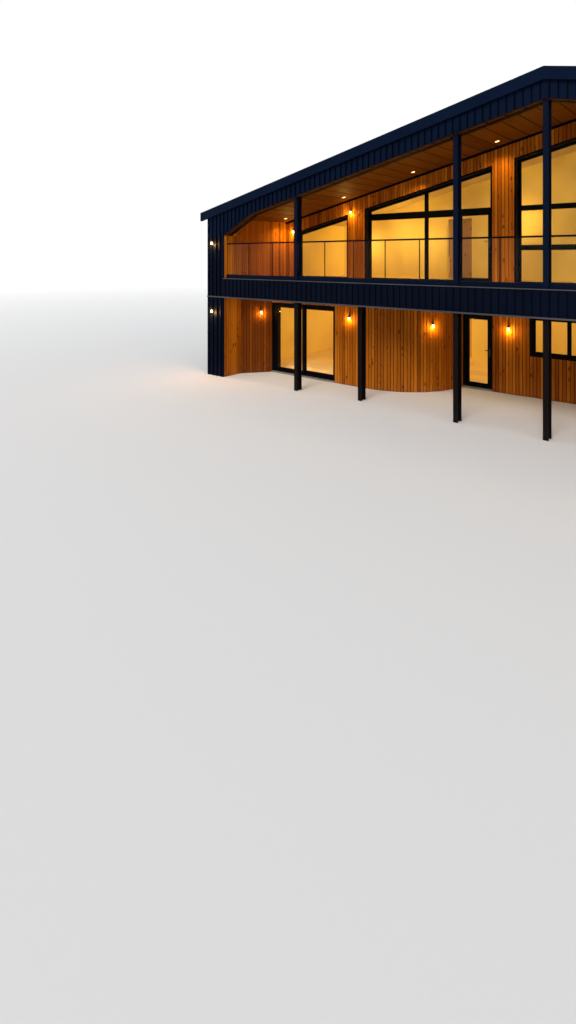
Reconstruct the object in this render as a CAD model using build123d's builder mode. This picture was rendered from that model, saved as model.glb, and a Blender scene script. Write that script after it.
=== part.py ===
from build123d import *
import math
import os

# A gable-fronted steel portal-frame house with a recessed balcony and a covered terrace.
# The origin is on the ground in the middle of the plan. The gable that shows faces -Y.

# Overall building
HALF_WIDTH = 10100  # from the ridge line to the outer face of the side cladding
LENGTH = 15000  # from the front gable face to the rear gable face
UPPER_STOREY = 4500  # from the balcony floor up to the ridge
ROOF_PITCH = 13
ROOF_THICKNESS = 200  # measured upright
EAVE_OVERHANG = 120
GUTTER_WIDTH = 130
GUTTER_DEPTH = 110
GUTTER_WALL = 12
DOWNPIPE_WIDTH = 80
DOWNPIPE_INSET = 600  # from the back of the pier and from the rear gable
DOWNPIPE_CLEARANCE = 20  # under the roof edge
VERGE_PROJECTION = 80
VERGE_HEIGHT = 230
VERGE_UPSTAND = 30
RIDGE_CAP_WIDTH = 220
RIDGE_CAP_THICKNESS = 15

# Walls and floors
WALL = 250
SIDE_WALL = 220
SLAB = 60
DECK_TOP = 2950
DECK_THICKNESS = 350
RECESS = 3520  # from the gable face back to the recessed front wall

# Corner piers, front portal frame and soffit
PIER_WIDTH = 730
PIER_DEPTH = 750
CLADDING = 40
PORTAL_BACK = 300  # from the gable face to the back of the boxed rafter
PORTAL_DROP = 590  # roof top down to the underside of the boxed rafter
HAUNCH_CLEARANCE = 240  # over the balustrade's rail
HAUNCH_LENGTH = 1170
SOFFIT_BOARD = 25
SOFFIT_TRIM_HEIGHT = 80
SOFFIT_TRIM_DEPTH = 30
PORTAL_TRIM_HEIGHT = 60
PORTAL_TRIM_DEPTH = 45

# Rounded ground-floor bays beside the doors
BAY_FRONT = 1580  # from the gable face to the flat front of the bay
BAY_FLAT = 1080  # flat part of the bay, between the sliding door and the curve
BAY_SEGMENTS = 3

# Ground-floor openings
OBLIQUE_RUN = 590  # sideways, from the pier to the sliding door
SLIDING_WIDTH = 2490
SLIDING_HEAD = 2240
GLAZED_JAMB = 50  # from the foot of the curve to the glazed door
GLAZED_WIDTH = 840
GLAZED_HEAD = 2100
CENTRE_PIER = 1034  # between the glazed door and the wide window
GROUND_WINDOW_LIGHTS = 3
SILL = 1120
WINDOW_HEAD = 2100

# First-floor openings, with heads parallel to the roof
UPPER_HEAD_DROP = 750  # roof top down to the raked heads
CORNER_WALL = 540  # from the side wall to the small window
SMALL_WIDTH = 2140
WALL_BETWEEN = 740  # from the small window to the large one
LARGE_INNER = 2420  # from the ridge line
CENTRE_WIDTH = 3488
TRANSOM_DROP = 2450  # ridge down to the upper transoms
LOWER_TRANSOM = 990  # floor up to the lower transom of the centre window
TRANSOM = 120

# Inner walls between the front and the rear rooms
FRONT_ROOMS = 3430  # depth behind the recessed front wall
INNER_WALL = 120
DOORWAY_INNER = 4480  # from the ridge line
DOORWAY_WIDTH = 900
DOORWAY_HEIGHT = 2100

# Side and rear windows
SIDE_WINDOW_WIDTH = 1400
SIDE_WINDOW_COUNT = 2
EAVES_TO_HEAD = 318  # underside of the roof at the wall down to the upper window heads
UPPER_WINDOW_HEIGHT = 850
REAR_WINDOW_WIDTH = 1800
REAR_WINDOW_COUNT = 5

# Window and door sections
FRAME = 70  # face width of a window frame
FRAME_DEPTH = 80
FRAME_SETBACK = 60
UPPER_FRAME_SETBACK = 160
MULLION = 80
UPPER_MULLION = 100
WINDOW_TRIM = 45
WINDOW_TRIM_PROJECTION = 16
SASH = 65
SASH_DEPTH = 60
SASH_PROJECTION = 12
UPPER_LEVER_HEIGHT = 1180  # over the balcony floor
GLASS = 24
DOOR_FRAME = 55
STILE = 90
LEAF_DEPTH = 45
DOOR_GAP = 6
LATCH_GAP = 9
SLIDING_SILL = 80
SLIDING_FRAME_DEPTH = 130
TRACK_GAP = 16  # between the fixed and the sliding leaf
TRACK_WIDTH = 8
TRACK_HEIGHT = 4
TRACK_LIFT = 10  # from the sill up to the bottom of the sliding leaf
SHOE_LENGTH = 90
RUNNING_CLEARANCE = 0.3
LEAF_OVERLAP = 80
LEAF_CLEARANCE = 10  # under the hinged leaf, over the floor
REBATE_DEPTH = 15
REBATE_COVER = 16  # how far the door stop reaches in from the frame
DOOR_SILL_HEIGHT = 40
DOOR_SILL_PROJECTION = 30
PULL_WIDTH = 18
PULL_DEPTH = 34
PULL_HEIGHT = 320
PULL_BAR = 10
PULL_MIDDLE = 1050
HINGE_RADIUS = 8
HINGE_HEIGHT = 50
HINGE_PLATE = 3
HINGE_PLATE_WIDTH = 30
HINGE_FIRST = 250
HINGE_SPACING = 775
HINGE_COUNT = 3
LEVER_HEIGHT = 1090
LEVER_PLATE = 5
LEVER_PLATE_WIDTH = 34
LEVER_PLATE_HEIGHT = 210
LEVER_REACH = 42
LEVER_LENGTH = 125
LEVER_RADIUS = 9
LEVER_NECK_RADIUS = 7

# Balcony edge
BAND_HEIGHT = 580
BAND_UPSTAND = 70  # of the band over the balcony floor
FLASHING = 20
FLASHING_PROJECTION = 25
DRIP_HEIGHT = 35
GLASS_LINE = 160  # from the gable face to the middle of the balustrade glass
BALUSTRADE_GLASS = 18
CHANNEL_WIDTH = 74
CHANNEL_HEIGHT = 200
CHANNEL_FLOOR = 50
GUARD_HEIGHT = 1100  # top of the rail over the top of the band
RAIL_WIDTH = 42
RAIL_HEIGHT = 40
RAIL_GROOVE = 18
PANEL_WIDTH = 930
PANEL_JOINT = 8

# Steel posts
POST_WIDTH = 110
POST_DEPTH = 200
POST_FLANGE = 12
POST_WEB = 9
POST_SETBACK = 60
GROUND_POST_SETBACK = 290
POST_OUTER = 2845  # from the pier's inner face
POST_GROUND = 4580
POST_INNER = 1900

# Lamps
LAMP_RADIUS = 36
LAMP_HEIGHT = 130
LAMP_REACH = 62  # from the wall to the axis of the lamp
LAMP_ARM = 24
LAMP_PLATE = 60
LAMP_BACK = 8
PIER_LAMP_INSET = 265  # from the outer corner of the pier
PIER_LAMP_HEIGHT = 2030
UPPER_PIER_LAMP_HEIGHT = 1200  # over the balcony floor
BAY_LAMP_HEIGHT = 1950
OBLIQUE_LAMP_SHARE = 0.64  # of the oblique wall's length, from the pier
CURVE_LAMP_TURN = 55
CURVE_LAMP_HEIGHT = 1830
REAR_LAMP_INSET = 460  # from the glazed door
REAR_LAMP_HEIGHT = 1770
UPPER_LAMP_INSET = 180  # from the small window
CORNER_LAMP_INSET = 130  # from the small window, towards the corner
UPPER_LAMP_DROP = 650  # roof top down to the lamps on the recessed first-floor wall
DOWNLIGHT_RADIUS = 62
DOWNLIGHT_DROP = 12
DOWNLIGHT_INSET = 440  # of the outermost one from the side wall
DOWNLIGHT_SPACING = 2460
DOWNLIGHT_COUNT = 4
DOWNLIGHT_LINE = 500  # from the recessed wall

# Values worked out from the ones above
SLOPE = math.tan(math.radians(ROOF_PITCH))
RIDGE_HEIGHT = DECK_TOP + UPPER_STOREY
QUARTER_TURN = 90
FRONT = -LENGTH / 2
REAR = LENGTH / 2
EAVE = HALF_WIDTH + EAVE_OVERHANG
ROOF_EDGE = EAVE + GUTTER_WIDTH
INSIDE = HALF_WIDTH - SIDE_WALL
PIER_INNER = HALF_WIDTH - PIER_WIDTH
PIER_BACK = FRONT + PIER_DEPTH
DECK_BOTTOM = DECK_TOP - DECK_THICKNESS
RECESSED = FRONT + RECESS
RECESSED_IN = RECESSED + WALL
BAY = FRONT + BAY_FRONT
BAY_IN = BAY + WALL
BAY_RADIUS = RECESS - BAY_FRONT
REAR_IN = REAR - WALL
INNER_WALL_Y = RECESSED_IN + FRONT_ROOMS
PORTAL_IN = FRONT + PORTAL_BACK
ABOVE_ROOF = 3 * RIDGE_HEIGHT
SLIDING_OUTER = PIER_INNER - OBLIQUE_RUN
SLIDING_INNER = SLIDING_OUTER - SLIDING_WIDTH
BAY_CENTRE = SLIDING_INNER - BAY_FLAT
BAY_EDGE = BAY_CENTRE - BAY_RADIUS
GLAZED_OUTER = BAY_EDGE - GLAZED_JAMB
GLAZED_INNER = GLAZED_OUTER - GLAZED_WIDTH
GROUND_WINDOW_HALF = GLAZED_INNER - CENTRE_PIER
SMALL_OUTER = INSIDE - CORNER_WALL
SMALL_INNER = SMALL_OUTER - SMALL_WIDTH
LARGE_OUTER = SMALL_INNER - WALL_BETWEEN
CENTRE_HALF = CENTRE_WIDTH / 2
TRANSOM_HEIGHT = RIDGE_HEIGHT - TRANSOM_DROP
LOWER_TRANSOM_HEIGHT = DECK_TOP + LOWER_TRANSOM
UPPER_SILL = RIDGE_HEIGHT - ROOF_THICKNESS - HALF_WIDTH * SLOPE - EAVES_TO_HEAD - UPPER_WINDOW_HEIGHT
BAND_TOP = DECK_TOP + BAND_UPSTAND
BAND_BOTTOM = BAND_TOP - BAND_HEIGHT
RAIL_TOP = BAND_TOP + GUARD_HEIGHT
HAUNCH_HEIGHT = RAIL_TOP + HAUNCH_CLEARANCE
OUTER_POST_X = PIER_INNER - POST_OUTER
GLAZED_SILL = SLAB + LEAF_CLEARANCE - DOOR_GAP
LARGE_QUARTER = (LARGE_OUTER - LARGE_INNER) / 4
UPPER_DOOR_POST = LARGE_INNER + LARGE_QUARTER  # from the ridge line

os.makedirs("parts", exist_ok=True)


def roof_height(x, drop=0.0):
    """Height of a line parallel to the roof, `drop` below its top, at distance x from the ridge."""
    return RIDGE_HEIGHT - drop - abs(x) * SLOPE


def facing(y):
    """Upright plane at y, seen from the front: +X to the right, +Z up, growing towards -Y."""
    return Plane.XZ.offset(-y)


def polygon(*points, mode=Mode.ADD):
    """Filled outline in the sketch that is open, at its own coordinates."""
    Polygon(*points, align=None, mode=mode)


def rectangle(x_low, x_high, y_low, y_high, mode=Mode.ADD):
    """Filled rectangle between two corners, in the sketch that is open."""
    polygon((x_low, y_low), (x_high, y_low), (x_high, y_high), (x_low, y_high), mode=mode)


def under_roof(half_width, drop):
    """Everything higher than `drop` below the roof top, in the sketch that is open."""
    polygon(
        (-half_width, roof_height(half_width, drop)),
        (0, roof_height(0, drop)),
        (half_width, roof_height(half_width, drop)),
        (half_width, ABOVE_ROOF),
        (-half_width, ABOVE_ROOF),
    )


def roof_strip(half_width, top_drop, bottom_drop):
    """Chevron that follows both roof slopes between two drops, in the sketch that is open."""
    polygon(
        (-half_width, roof_height(half_width, top_drop)),
        (0, roof_height(0, top_drop)),
        (half_width, roof_height(half_width, top_drop)),
        (half_width, roof_height(half_width, bottom_drop)),
        (0, roof_height(0, bottom_drop)),
        (-half_width, roof_height(half_width, bottom_drop)),
    )


def portal_outline(top_drop):
    """Rafters, haunches and pier heads of the front portal frame, in the sketch that is open."""
    knee = PIER_INNER - HAUNCH_LENGTH
    polygon(
        (-HALF_WIDTH, HAUNCH_HEIGHT),
        (-PIER_INNER, HAUNCH_HEIGHT),
        (-knee, roof_height(knee, PORTAL_DROP)),
        (0, roof_height(0, PORTAL_DROP)),
        (knee, roof_height(knee, PORTAL_DROP)),
        (PIER_INNER, HAUNCH_HEIGHT),
        (HALF_WIDTH, HAUNCH_HEIGHT),
        (HALF_WIDTH, roof_height(HALF_WIDTH, top_drop)),
        (0, roof_height(0, top_drop)),
        (-HALF_WIDTH, roof_height(HALF_WIDTH, top_drop)),
    )


def raked_opening(x_low, x_high, inset=0.0):
    """Opening from the balcony floor up to a head parallel to the roof, in the open sketch."""
    low, high = x_low + inset, x_high - inset
    drop = UPPER_HEAD_DROP + inset / math.cos(math.radians(ROOF_PITCH))
    foot = DECK_TOP + max(inset, 0)
    points = [(low, foot), (high, foot), (high, roof_height(high, drop))]
    if low < 0 < high:
        points.append((0, roof_height(0, drop)))
    points.append((low, roof_height(low, drop)))
    polygon(*points)


# Ground floor slab, inside the walls
with BuildPart() as ground_slab:
    oblique_run = math.hypot(PIER_INNER - SLIDING_OUTER, BAY_FRONT - PIER_DEPTH)
    oblique_in_x = WALL * oblique_run / (BAY_FRONT - PIER_DEPTH)
    oblique_in_y = WALL * oblique_run / (PIER_INNER - SLIDING_OUTER)
    arc_inner = BAY_RADIUS - WALL
    with BuildSketch(Plane.XY):
        with BuildLine():
            Polyline((0, RECESSED_IN), (-BAY_EDGE - WALL, RECESSED_IN), (-BAY_EDGE - WALL, RECESSED))
            CenterArc((-BAY_CENTRE, RECESSED), arc_inner, -QUARTER_TURN, QUARTER_TURN)
            Polyline(
                (-BAY_CENTRE, BAY_IN),
                (-SLIDING_OUTER, BAY_IN),
                (-SLIDING_OUTER, BAY + oblique_in_y),
                (-PIER_INNER - oblique_in_x, PIER_BACK),
                (-INSIDE, PIER_BACK),
                (-INSIDE, REAR_IN),
                (0, REAR_IN),
                (0, RECESSED_IN),
            )
        make_face()
        mirror(about=Plane.YZ)
    extrude(amount=SLAB)
ground_slab.part.label = "ground_slab"
export_step(ground_slab.part, "parts/ground_slab.step")

# Short oblique walls between the corner piers and the sliding doors
with BuildPart() as oblique_walls:
    with BuildSketch(Plane.XY):
        polygon(
            (-PIER_INNER, PIER_BACK),
            (-SLIDING_OUTER, BAY),
            (-SLIDING_OUTER, BAY + oblique_in_y),
            (-PIER_INNER - oblique_in_x, PIER_BACK),
        )
        mirror(about=Plane.YZ)
    extrude(amount=DECK_BOTTOM)
oblique_walls.part.label = "oblique_walls"
export_step(oblique_walls.part, "parts/oblique_walls.step")

# Flat front walls of the bays
with BuildPart() as bay_front_walls:
    with BuildSketch(Plane.XY):
        rectangle(-SLIDING_INNER, -BAY_CENTRE, BAY, BAY_IN)
        mirror(about=Plane.YZ)
    extrude(amount=DECK_BOTTOM)
bay_front_walls.part.label = "bay_front_walls"
export_step(bay_front_walls.part, "parts/bay_front_walls.step")

# Rounded corners of the bays, in equal segments, the last with the door jamb
for number in range(BAY_SEGMENTS):
    turn = QUARTER_TURN / BAY_SEGMENTS
    start = -QUARTER_TURN + number * turn
    arc_centre = (-BAY_CENTRE, RECESSED)
    with BuildPart() as bay_curve:
        with BuildSketch(Plane.XY):
            with BuildLine():
                outer_arc = CenterArc(arc_centre, BAY_RADIUS, start, turn)
                inner_arc = CenterArc(arc_centre, arc_inner, start, turn)
                Line(outer_arc @ 0, inner_arc @ 0)
                Line(outer_arc @ 1, inner_arc @ 1)
            make_face()
            if number == BAY_SEGMENTS - 1:
                rectangle(-BAY_EDGE - WALL, -GLAZED_OUTER, RECESSED, RECESSED_IN)
            mirror(about=Plane.YZ)
        extrude(amount=DECK_BOTTOM)
    bay_curve.part.label = f"bay_curve_{number + 1}"
    export_step(bay_curve.part, f"parts/bay_curve_{number + 1}.step")

# Walls above the ground-floor doors
with BuildPart() as door_lintels:
    with BuildSketch(Plane.XY.offset(SLIDING_HEAD)):
        rectangle(-SLIDING_OUTER, -SLIDING_INNER, BAY, BAY_IN)
        mirror(about=Plane.YZ)
    extrude(amount=DECK_BOTTOM - SLIDING_HEAD)
    with BuildSketch(Plane.XY.offset(GLAZED_HEAD)):
        rectangle(-GLAZED_OUTER, -GLAZED_INNER, RECESSED, RECESSED_IN)
        mirror(about=Plane.YZ)
    extrude(amount=DECK_BOTTOM - GLAZED_HEAD)
door_lintels.part.label = "door_lintels"
export_step(door_lintels.part, "parts/door_lintels.step")

# Recessed ground-floor wall between the glazed doors, with its wide window
with BuildPart() as ground_centre_wall:
    with BuildSketch(facing(RECESSED)):
        rectangle(-GLAZED_INNER, GLAZED_INNER, 0, DECK_BOTTOM)
        with Locations((0, (SILL + WINDOW_HEAD) / 2)):
            Rectangle(2 * GROUND_WINDOW_HALF, WINDOW_HEAD - SILL, mode=Mode.SUBTRACT)
    extrude(amount=-WALL)
ground_centre_wall.part.label = "ground_centre_wall"
export_step(ground_centre_wall.part, "parts/ground_centre_wall.step")

# Balcony deck and first floor in one structural layer, notched round the steel posts
full_posts = [-OUTER_POST_X, -POST_INNER, 0, POST_INNER, OUTER_POST_X]
with BuildPart() as first_floor:
    with BuildSketch(Plane.XY.offset(DECK_BOTTOM)):
        rectangle(-INSIDE, INSIDE, PIER_BACK, REAR_IN)
        rectangle(-PIER_INNER, PIER_INNER, FRONT + CLADDING, PIER_BACK)
        for post_x in full_posts:
            with Locations((post_x, FRONT + POST_SETBACK + POST_DEPTH / 2)):
                Rectangle(POST_WIDTH, POST_DEPTH, mode=Mode.SUBTRACT)
    extrude(amount=DECK_THICKNESS)
first_floor.part.label = "first_floor"
export_step(first_floor.part, "parts/first_floor.step")

# Recessed first-floor walls with their raked openings, one each side of the ridge line
for side, sign in (("left", -1), ("right", 1)):
    with BuildPart() as upper_wall:
        with BuildSketch(facing(RECESSED)):
            polygon(
                (0, DECK_TOP),
                (sign * INSIDE, DECK_TOP),
                (sign * INSIDE, roof_height(INSIDE, ROOF_THICKNESS)),
                (0, roof_height(0, ROOF_THICKNESS)),
            )
        extrude(amount=-WALL)
        with BuildSketch(facing(RECESSED)):
            raked_opening(-CENTRE_HALF, CENTRE_HALF)
            raked_opening(*sorted((sign * SMALL_OUTER, sign * SMALL_INNER)))
            raked_opening(*sorted((sign * LARGE_OUTER, sign * LARGE_INNER)))
        extrude(amount=-WALL, mode=Mode.SUBTRACT)
    upper_wall.part.label = f"upper_front_wall_{side}"
    export_step(upper_wall.part, f"parts/upper_front_wall_{side}.step")

# Inner walls of both storeys, with a doorway on each side
with BuildPart() as inner_walls:
    with BuildSketch(facing(INNER_WALL_Y)):
        rectangle(-INSIDE, INSIDE, SLAB, DECK_BOTTOM)
        polygon(
            (-INSIDE, DECK_TOP),
            (INSIDE, DECK_TOP),
            (INSIDE, roof_height(INSIDE, ROOF_THICKNESS)),
            (0, roof_height(0, ROOF_THICKNESS)),
            (-INSIDE, roof_height(INSIDE, ROOF_THICKNESS)),
        )
        for sign in (-1, 1):
            x_low, x_high = sorted((sign * DOORWAY_INNER, sign * (DOORWAY_INNER + DOORWAY_WIDTH)))
            for floor in (SLAB, DECK_TOP):
                rectangle(x_low, x_high, floor, floor + DOORWAY_HEIGHT, mode=Mode.SUBTRACT)
    extrude(amount=-INNER_WALL)
inner_walls.part.label = "inner_walls"
export_step(inner_walls.part, "parts/inner_walls.step")

# Side walls with a row of rear-room windows on each storey
side_run = REAR_IN - PIER_BACK
side_pitch = (REAR_IN - INNER_WALL_Y - INNER_WALL) / SIDE_WINDOW_COUNT
side_centres = [REAR_IN - side_pitch * (i + 0.5) for i in range(SIDE_WINDOW_COUNT)]
side_sills = [(SILL, WINDOW_HEAD - SILL), (UPPER_SILL, UPPER_WINDOW_HEIGHT)]


def side_windows(inset=0.0):
    """Window rectangles of a side wall, in the open sketch on Plane.YZ."""
    for y in side_centres:
        for sill, height in side_sills:
            with Locations((y, sill + height / 2)):
                Rectangle(SIDE_WINDOW_WIDTH - 2 * inset, height - 2 * inset)


for side, sign in (("left", -1), ("right", 1)):
    with BuildPart() as side_wall:
        with BuildSketch(facing(PIER_BACK)):
            polygon(
                (sign * INSIDE, 0),
                (sign * HALF_WIDTH, 0),
                (sign * HALF_WIDTH, roof_height(HALF_WIDTH, ROOF_THICKNESS)),
                (sign * INSIDE, roof_height(INSIDE, ROOF_THICKNESS)),
            )
        extrude(amount=-side_run)
        with BuildSketch(Plane.YZ):
            side_windows()
        extrude(amount=sign * 2 * HALF_WIDTH, mode=Mode.SUBTRACT)
    side_wall.part.label = f"side_wall_{side}"
    export_step(side_wall.part, f"parts/side_wall_{side}.step")

# Rear gable wall
rear_pitch = 2 * INSIDE / REAR_WINDOW_COUNT
rear_centres = [-INSIDE + rear_pitch * (i + 0.5) for i in range(REAR_WINDOW_COUNT)]


def rear_windows(inset=0.0):
    """Window rectangles of the rear gable, in the open sketch."""
    for x in rear_centres:
        for sill, height in side_sills:
            with Locations((x, sill + height / 2)):
                Rectangle(REAR_WINDOW_WIDTH - 2 * inset, height - 2 * inset)


with BuildPart() as rear_wall:
    with BuildSketch(facing(REAR_IN)):
        polygon(
            (-HALF_WIDTH, 0),
            (HALF_WIDTH, 0),
            (HALF_WIDTH, roof_height(HALF_WIDTH, ROOF_THICKNESS)),
            (0, roof_height(0, ROOF_THICKNESS)),
            (-HALF_WIDTH, roof_height(HALF_WIDTH, ROOF_THICKNESS)),
        )
    extrude(amount=-WALL)
    with BuildSketch(facing(REAR_IN)):
        rear_windows()
    extrude(amount=-WALL, mode=Mode.SUBTRACT)
rear_wall.part.label = "rear_wall"
export_step(rear_wall.part, "parts/rear_wall.step")

# Boxed corner piers, stepped back under the portal frame that they carry
for side, sign in (("left", -1), ("right", 1)):
    x_low, x_high = sorted((sign * HALF_WIDTH, sign * PIER_INNER))
    with BuildPart() as pier:
        with BuildSketch(Plane.XY):
            rectangle(x_low, x_high, FRONT, PIER_BACK)
        extrude(amount=RIDGE_HEIGHT)
        with BuildSketch(Plane.XY.offset(HAUNCH_HEIGHT)):
            rectangle(x_low, x_high, FRONT, PORTAL_IN)
        extrude(amount=RIDGE_HEIGHT, mode=Mode.SUBTRACT)
        with BuildSketch(facing(FRONT)):
            under_roof(ROOF_EDGE, ROOF_THICKNESS)
        extrude(amount=-LENGTH, mode=Mode.SUBTRACT)
    pier.part.label = f"corner_pier_{side}"
    export_step(pier.part, f"parts/corner_pier_{side}.step")

# Boxed front portal frame with haunches at the eaves
with BuildPart() as portal_frame:
    with BuildSketch(facing(FRONT + CLADDING)):
        portal_outline(ROOF_THICKNESS)
    extrude(amount=-(PORTAL_BACK - CLADDING))
portal_frame.part.label = "front_portal_frame"
export_step(portal_frame.part, "parts/front_portal_frame.step")

# Metal cladding on the face of the front portal frame
with BuildPart() as gable_fascia:
    with BuildSketch(facing(FRONT)):
        portal_outline(VERGE_HEIGHT)
    extrude(amount=-CLADDING)
gable_fascia.part.label = "gable_fascia"
export_step(gable_fascia.part, "parts/gable_fascia.step")

# Boarded soffit over the balcony
with BuildPart() as balcony_soffit:
    with BuildSketch(facing(PORTAL_IN)):
        roof_strip(INSIDE, ROOF_THICKNESS, ROOF_THICKNESS + SOFFIT_BOARD)
    extrude(amount=-(RECESS - PORTAL_BACK))
    for sign in (-1, 1):
        with BuildSketch(Plane.XY):
            rectangle(*sorted((sign * PIER_INNER, sign * HALF_WIDTH)), PORTAL_IN, PIER_BACK)
        extrude(amount=RIDGE_HEIGHT, mode=Mode.SUBTRACT)
balcony_soffit.part.label = "balcony_soffit"
export_step(balcony_soffit.part, "parts/balcony_soffit.step")

# Dark trims along both edges of the soffit: on the recessed wall and behind the portal frame
with BuildPart() as soffit_trims:
    with BuildSketch(facing(RECESSED)):
        trim_top = ROOF_THICKNESS + SOFFIT_BOARD
        roof_strip(INSIDE, trim_top, trim_top + SOFFIT_TRIM_HEIGHT)
    extrude(amount=SOFFIT_TRIM_DEPTH)
    with BuildSketch(facing(PORTAL_IN)):
        knee = PIER_INNER - HAUNCH_LENGTH
        knee_height = roof_height(knee, PORTAL_DROP)
        polygon(
            (-PIER_INNER, HAUNCH_HEIGHT),
            (-knee, knee_height),
            (0, roof_height(0, PORTAL_DROP)),
            (knee, knee_height),
            (PIER_INNER, HAUNCH_HEIGHT),
            (PIER_INNER, HAUNCH_HEIGHT + PORTAL_TRIM_HEIGHT),
            (knee, knee_height + PORTAL_TRIM_HEIGHT),
            (0, roof_height(0, PORTAL_DROP) + PORTAL_TRIM_HEIGHT),
            (-knee, knee_height + PORTAL_TRIM_HEIGHT),
            (-PIER_INNER, HAUNCH_HEIGHT + PORTAL_TRIM_HEIGHT),
        )
    extrude(amount=-PORTAL_TRIM_DEPTH)
soffit_trims.part.label = "soffit_trims"
export_step(soffit_trims.part, "parts/soffit_trims.step")

# Roof slopes
for side, sign in (("left", -1), ("right", 1)):
    with BuildPart() as roof:
        with BuildSketch(facing(FRONT)):
            polygon(
                (0, roof_height(0)),
                (sign * EAVE, roof_height(EAVE)),
                (sign * EAVE, roof_height(EAVE, ROOF_THICKNESS)),
                (0, roof_height(0, ROOF_THICKNESS)),
            )
        extrude(amount=-LENGTH)
    roof.part.label = f"roof_{side}"
    export_step(roof.part, f"parts/roof_{side}.step")

# Folded ridge cap
with BuildPart() as ridge_cap:
    with BuildSketch(facing(FRONT)):
        roof_strip(RIDGE_CAP_WIDTH, -RIDGE_CAP_THICKNESS, 0)
    extrude(amount=-LENGTH)
ridge_cap.part.label = "ridge_cap"
export_step(ridge_cap.part, "parts/ridge_cap.step")

# Verge flashings on both gables
with BuildPart() as verge_flashings:
    for face, reach in ((FRONT, VERGE_PROJECTION), (REAR, -VERGE_PROJECTION)):
        with BuildSketch(facing(face)):
            roof_strip(ROOF_EDGE, -VERGE_UPSTAND, VERGE_HEIGHT)
        extrude(amount=reach)
verge_flashings.part.label = "verge_flashings"
export_step(verge_flashings.part, "parts/verge_flashings.step")

# Open box gutters along both eaves
with BuildPart() as gutters:
    gutter_top = roof_height(EAVE)
    gutter_bottom = gutter_top - GUTTER_DEPTH
    with BuildSketch(facing(FRONT)):
        rectangle(-ROOF_EDGE, -EAVE, gutter_bottom, gutter_top)
        rectangle(
            -ROOF_EDGE + GUTTER_WALL,
            -EAVE - GUTTER_WALL,
            gutter_bottom + GUTTER_WALL,
            gutter_top,
            mode=Mode.SUBTRACT,
        )
        mirror(about=Plane.YZ)
    extrude(amount=-LENGTH)
gutters.part.label = "eaves_gutters"
export_step(gutters.part, "parts/eaves_gutters.step")

# Downpipes from the gutters to the ground, against the side walls
with BuildPart() as downpipes:
    outlet_x = EAVE + GUTTER_WIDTH / 2
    elbow_top = roof_height(EAVE, ROOF_THICKNESS) - DOWNPIPE_CLEARANCE
    elbow_run = outlet_x + DOWNPIPE_WIDTH / 2 - HALF_WIDTH
    for pipe_y in (PIER_BACK + DOWNPIPE_INSET, REAR - DOWNPIPE_INSET):
        for sign in (-1, 1):
            with BuildSketch(Plane.XY):
                with Locations((sign * (HALF_WIDTH + DOWNPIPE_WIDTH / 2), pipe_y)):
                    Rectangle(DOWNPIPE_WIDTH, DOWNPIPE_WIDTH)
            extrude(amount=elbow_top)
            with BuildSketch(Plane.XY.offset(elbow_top - DOWNPIPE_WIDTH)):
                with Locations((sign * (HALF_WIDTH + elbow_run / 2), pipe_y)):
                    Rectangle(elbow_run, DOWNPIPE_WIDTH)
            extrude(amount=DOWNPIPE_WIDTH)
            with BuildSketch(Plane.XY.offset(elbow_top)):
                with Locations((sign * outlet_x, pipe_y)):
                    Rectangle(DOWNPIPE_WIDTH, DOWNPIPE_WIDTH)
            extrude(amount=gutter_bottom - elbow_top)
downpipes.part.label = "downpipes"
export_step(downpipes.part, "parts/downpipes.step")

# Metal-clad band along the balcony edge
with BuildPart() as balcony_band:
    with BuildSketch(facing(FRONT)):
        rectangle(-PIER_INNER, PIER_INNER, BAND_BOTTOM, BAND_TOP)
    extrude(amount=-CLADDING)
balcony_band.part.label = "balcony_band"
export_step(balcony_band.part, "parts/balcony_band.step")

# Cap flashing on the band, and drip flashing under it and across the piers
with BuildPart() as band_flashings:
    with BuildSketch(Plane.XY.offset(BAND_TOP)):
        rectangle(-PIER_INNER, PIER_INNER, FRONT - FLASHING_PROJECTION, FRONT + CLADDING)
    extrude(amount=FLASHING)
    with BuildSketch(Plane.XY.offset(BAND_BOTTOM)):
        rectangle(-HALF_WIDTH, HALF_WIDTH, FRONT - FLASHING_PROJECTION, FRONT)
    extrude(amount=DRIP_HEIGHT)
band_flashings.part.label = "band_flashings"
export_step(band_flashings.part, "parts/band_flashings.step")


# Steel posts
def post_section():
    """Section of a rolled steel post round each location of the open sketch."""
    Rectangle(POST_WEB, POST_DEPTH)
    flange_offset = (POST_DEPTH - POST_FLANGE) / 2
    with Locations((0, -flange_offset), (0, flange_offset)):
        Rectangle(POST_WIDTH, POST_FLANGE)


for name, places in (
    ("outer_posts", (-OUTER_POST_X, OUTER_POST_X)),
    ("inner_posts", (-POST_INNER, POST_INNER)),
    ("centre_post", (0,)),
):
    with BuildPart() as posts:
        with BuildSketch(Plane.XY):
            with Locations(*[(x, FRONT + POST_SETBACK + POST_DEPTH / 2) for x in places]):
                post_section()
        extrude(amount=RIDGE_HEIGHT)
        with BuildSketch(facing(FRONT)):
            under_roof(HALF_WIDTH, PORTAL_DROP)
        extrude(amount=-PORTAL_BACK, mode=Mode.SUBTRACT)
    posts.part.label = name
    export_step(posts.part, f"parts/{name}.step")

with BuildPart() as ground_posts:
    with BuildSketch(Plane.XY):
        ground_post_y = FRONT + GROUND_POST_SETBACK + POST_DEPTH / 2
        with Locations((-POST_GROUND, ground_post_y), (POST_GROUND, ground_post_y)):
            post_section()
    extrude(amount=DECK_BOTTOM)
ground_posts.part.label = "ground_posts"
export_step(ground_posts.part, "parts/ground_posts.step")

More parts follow.
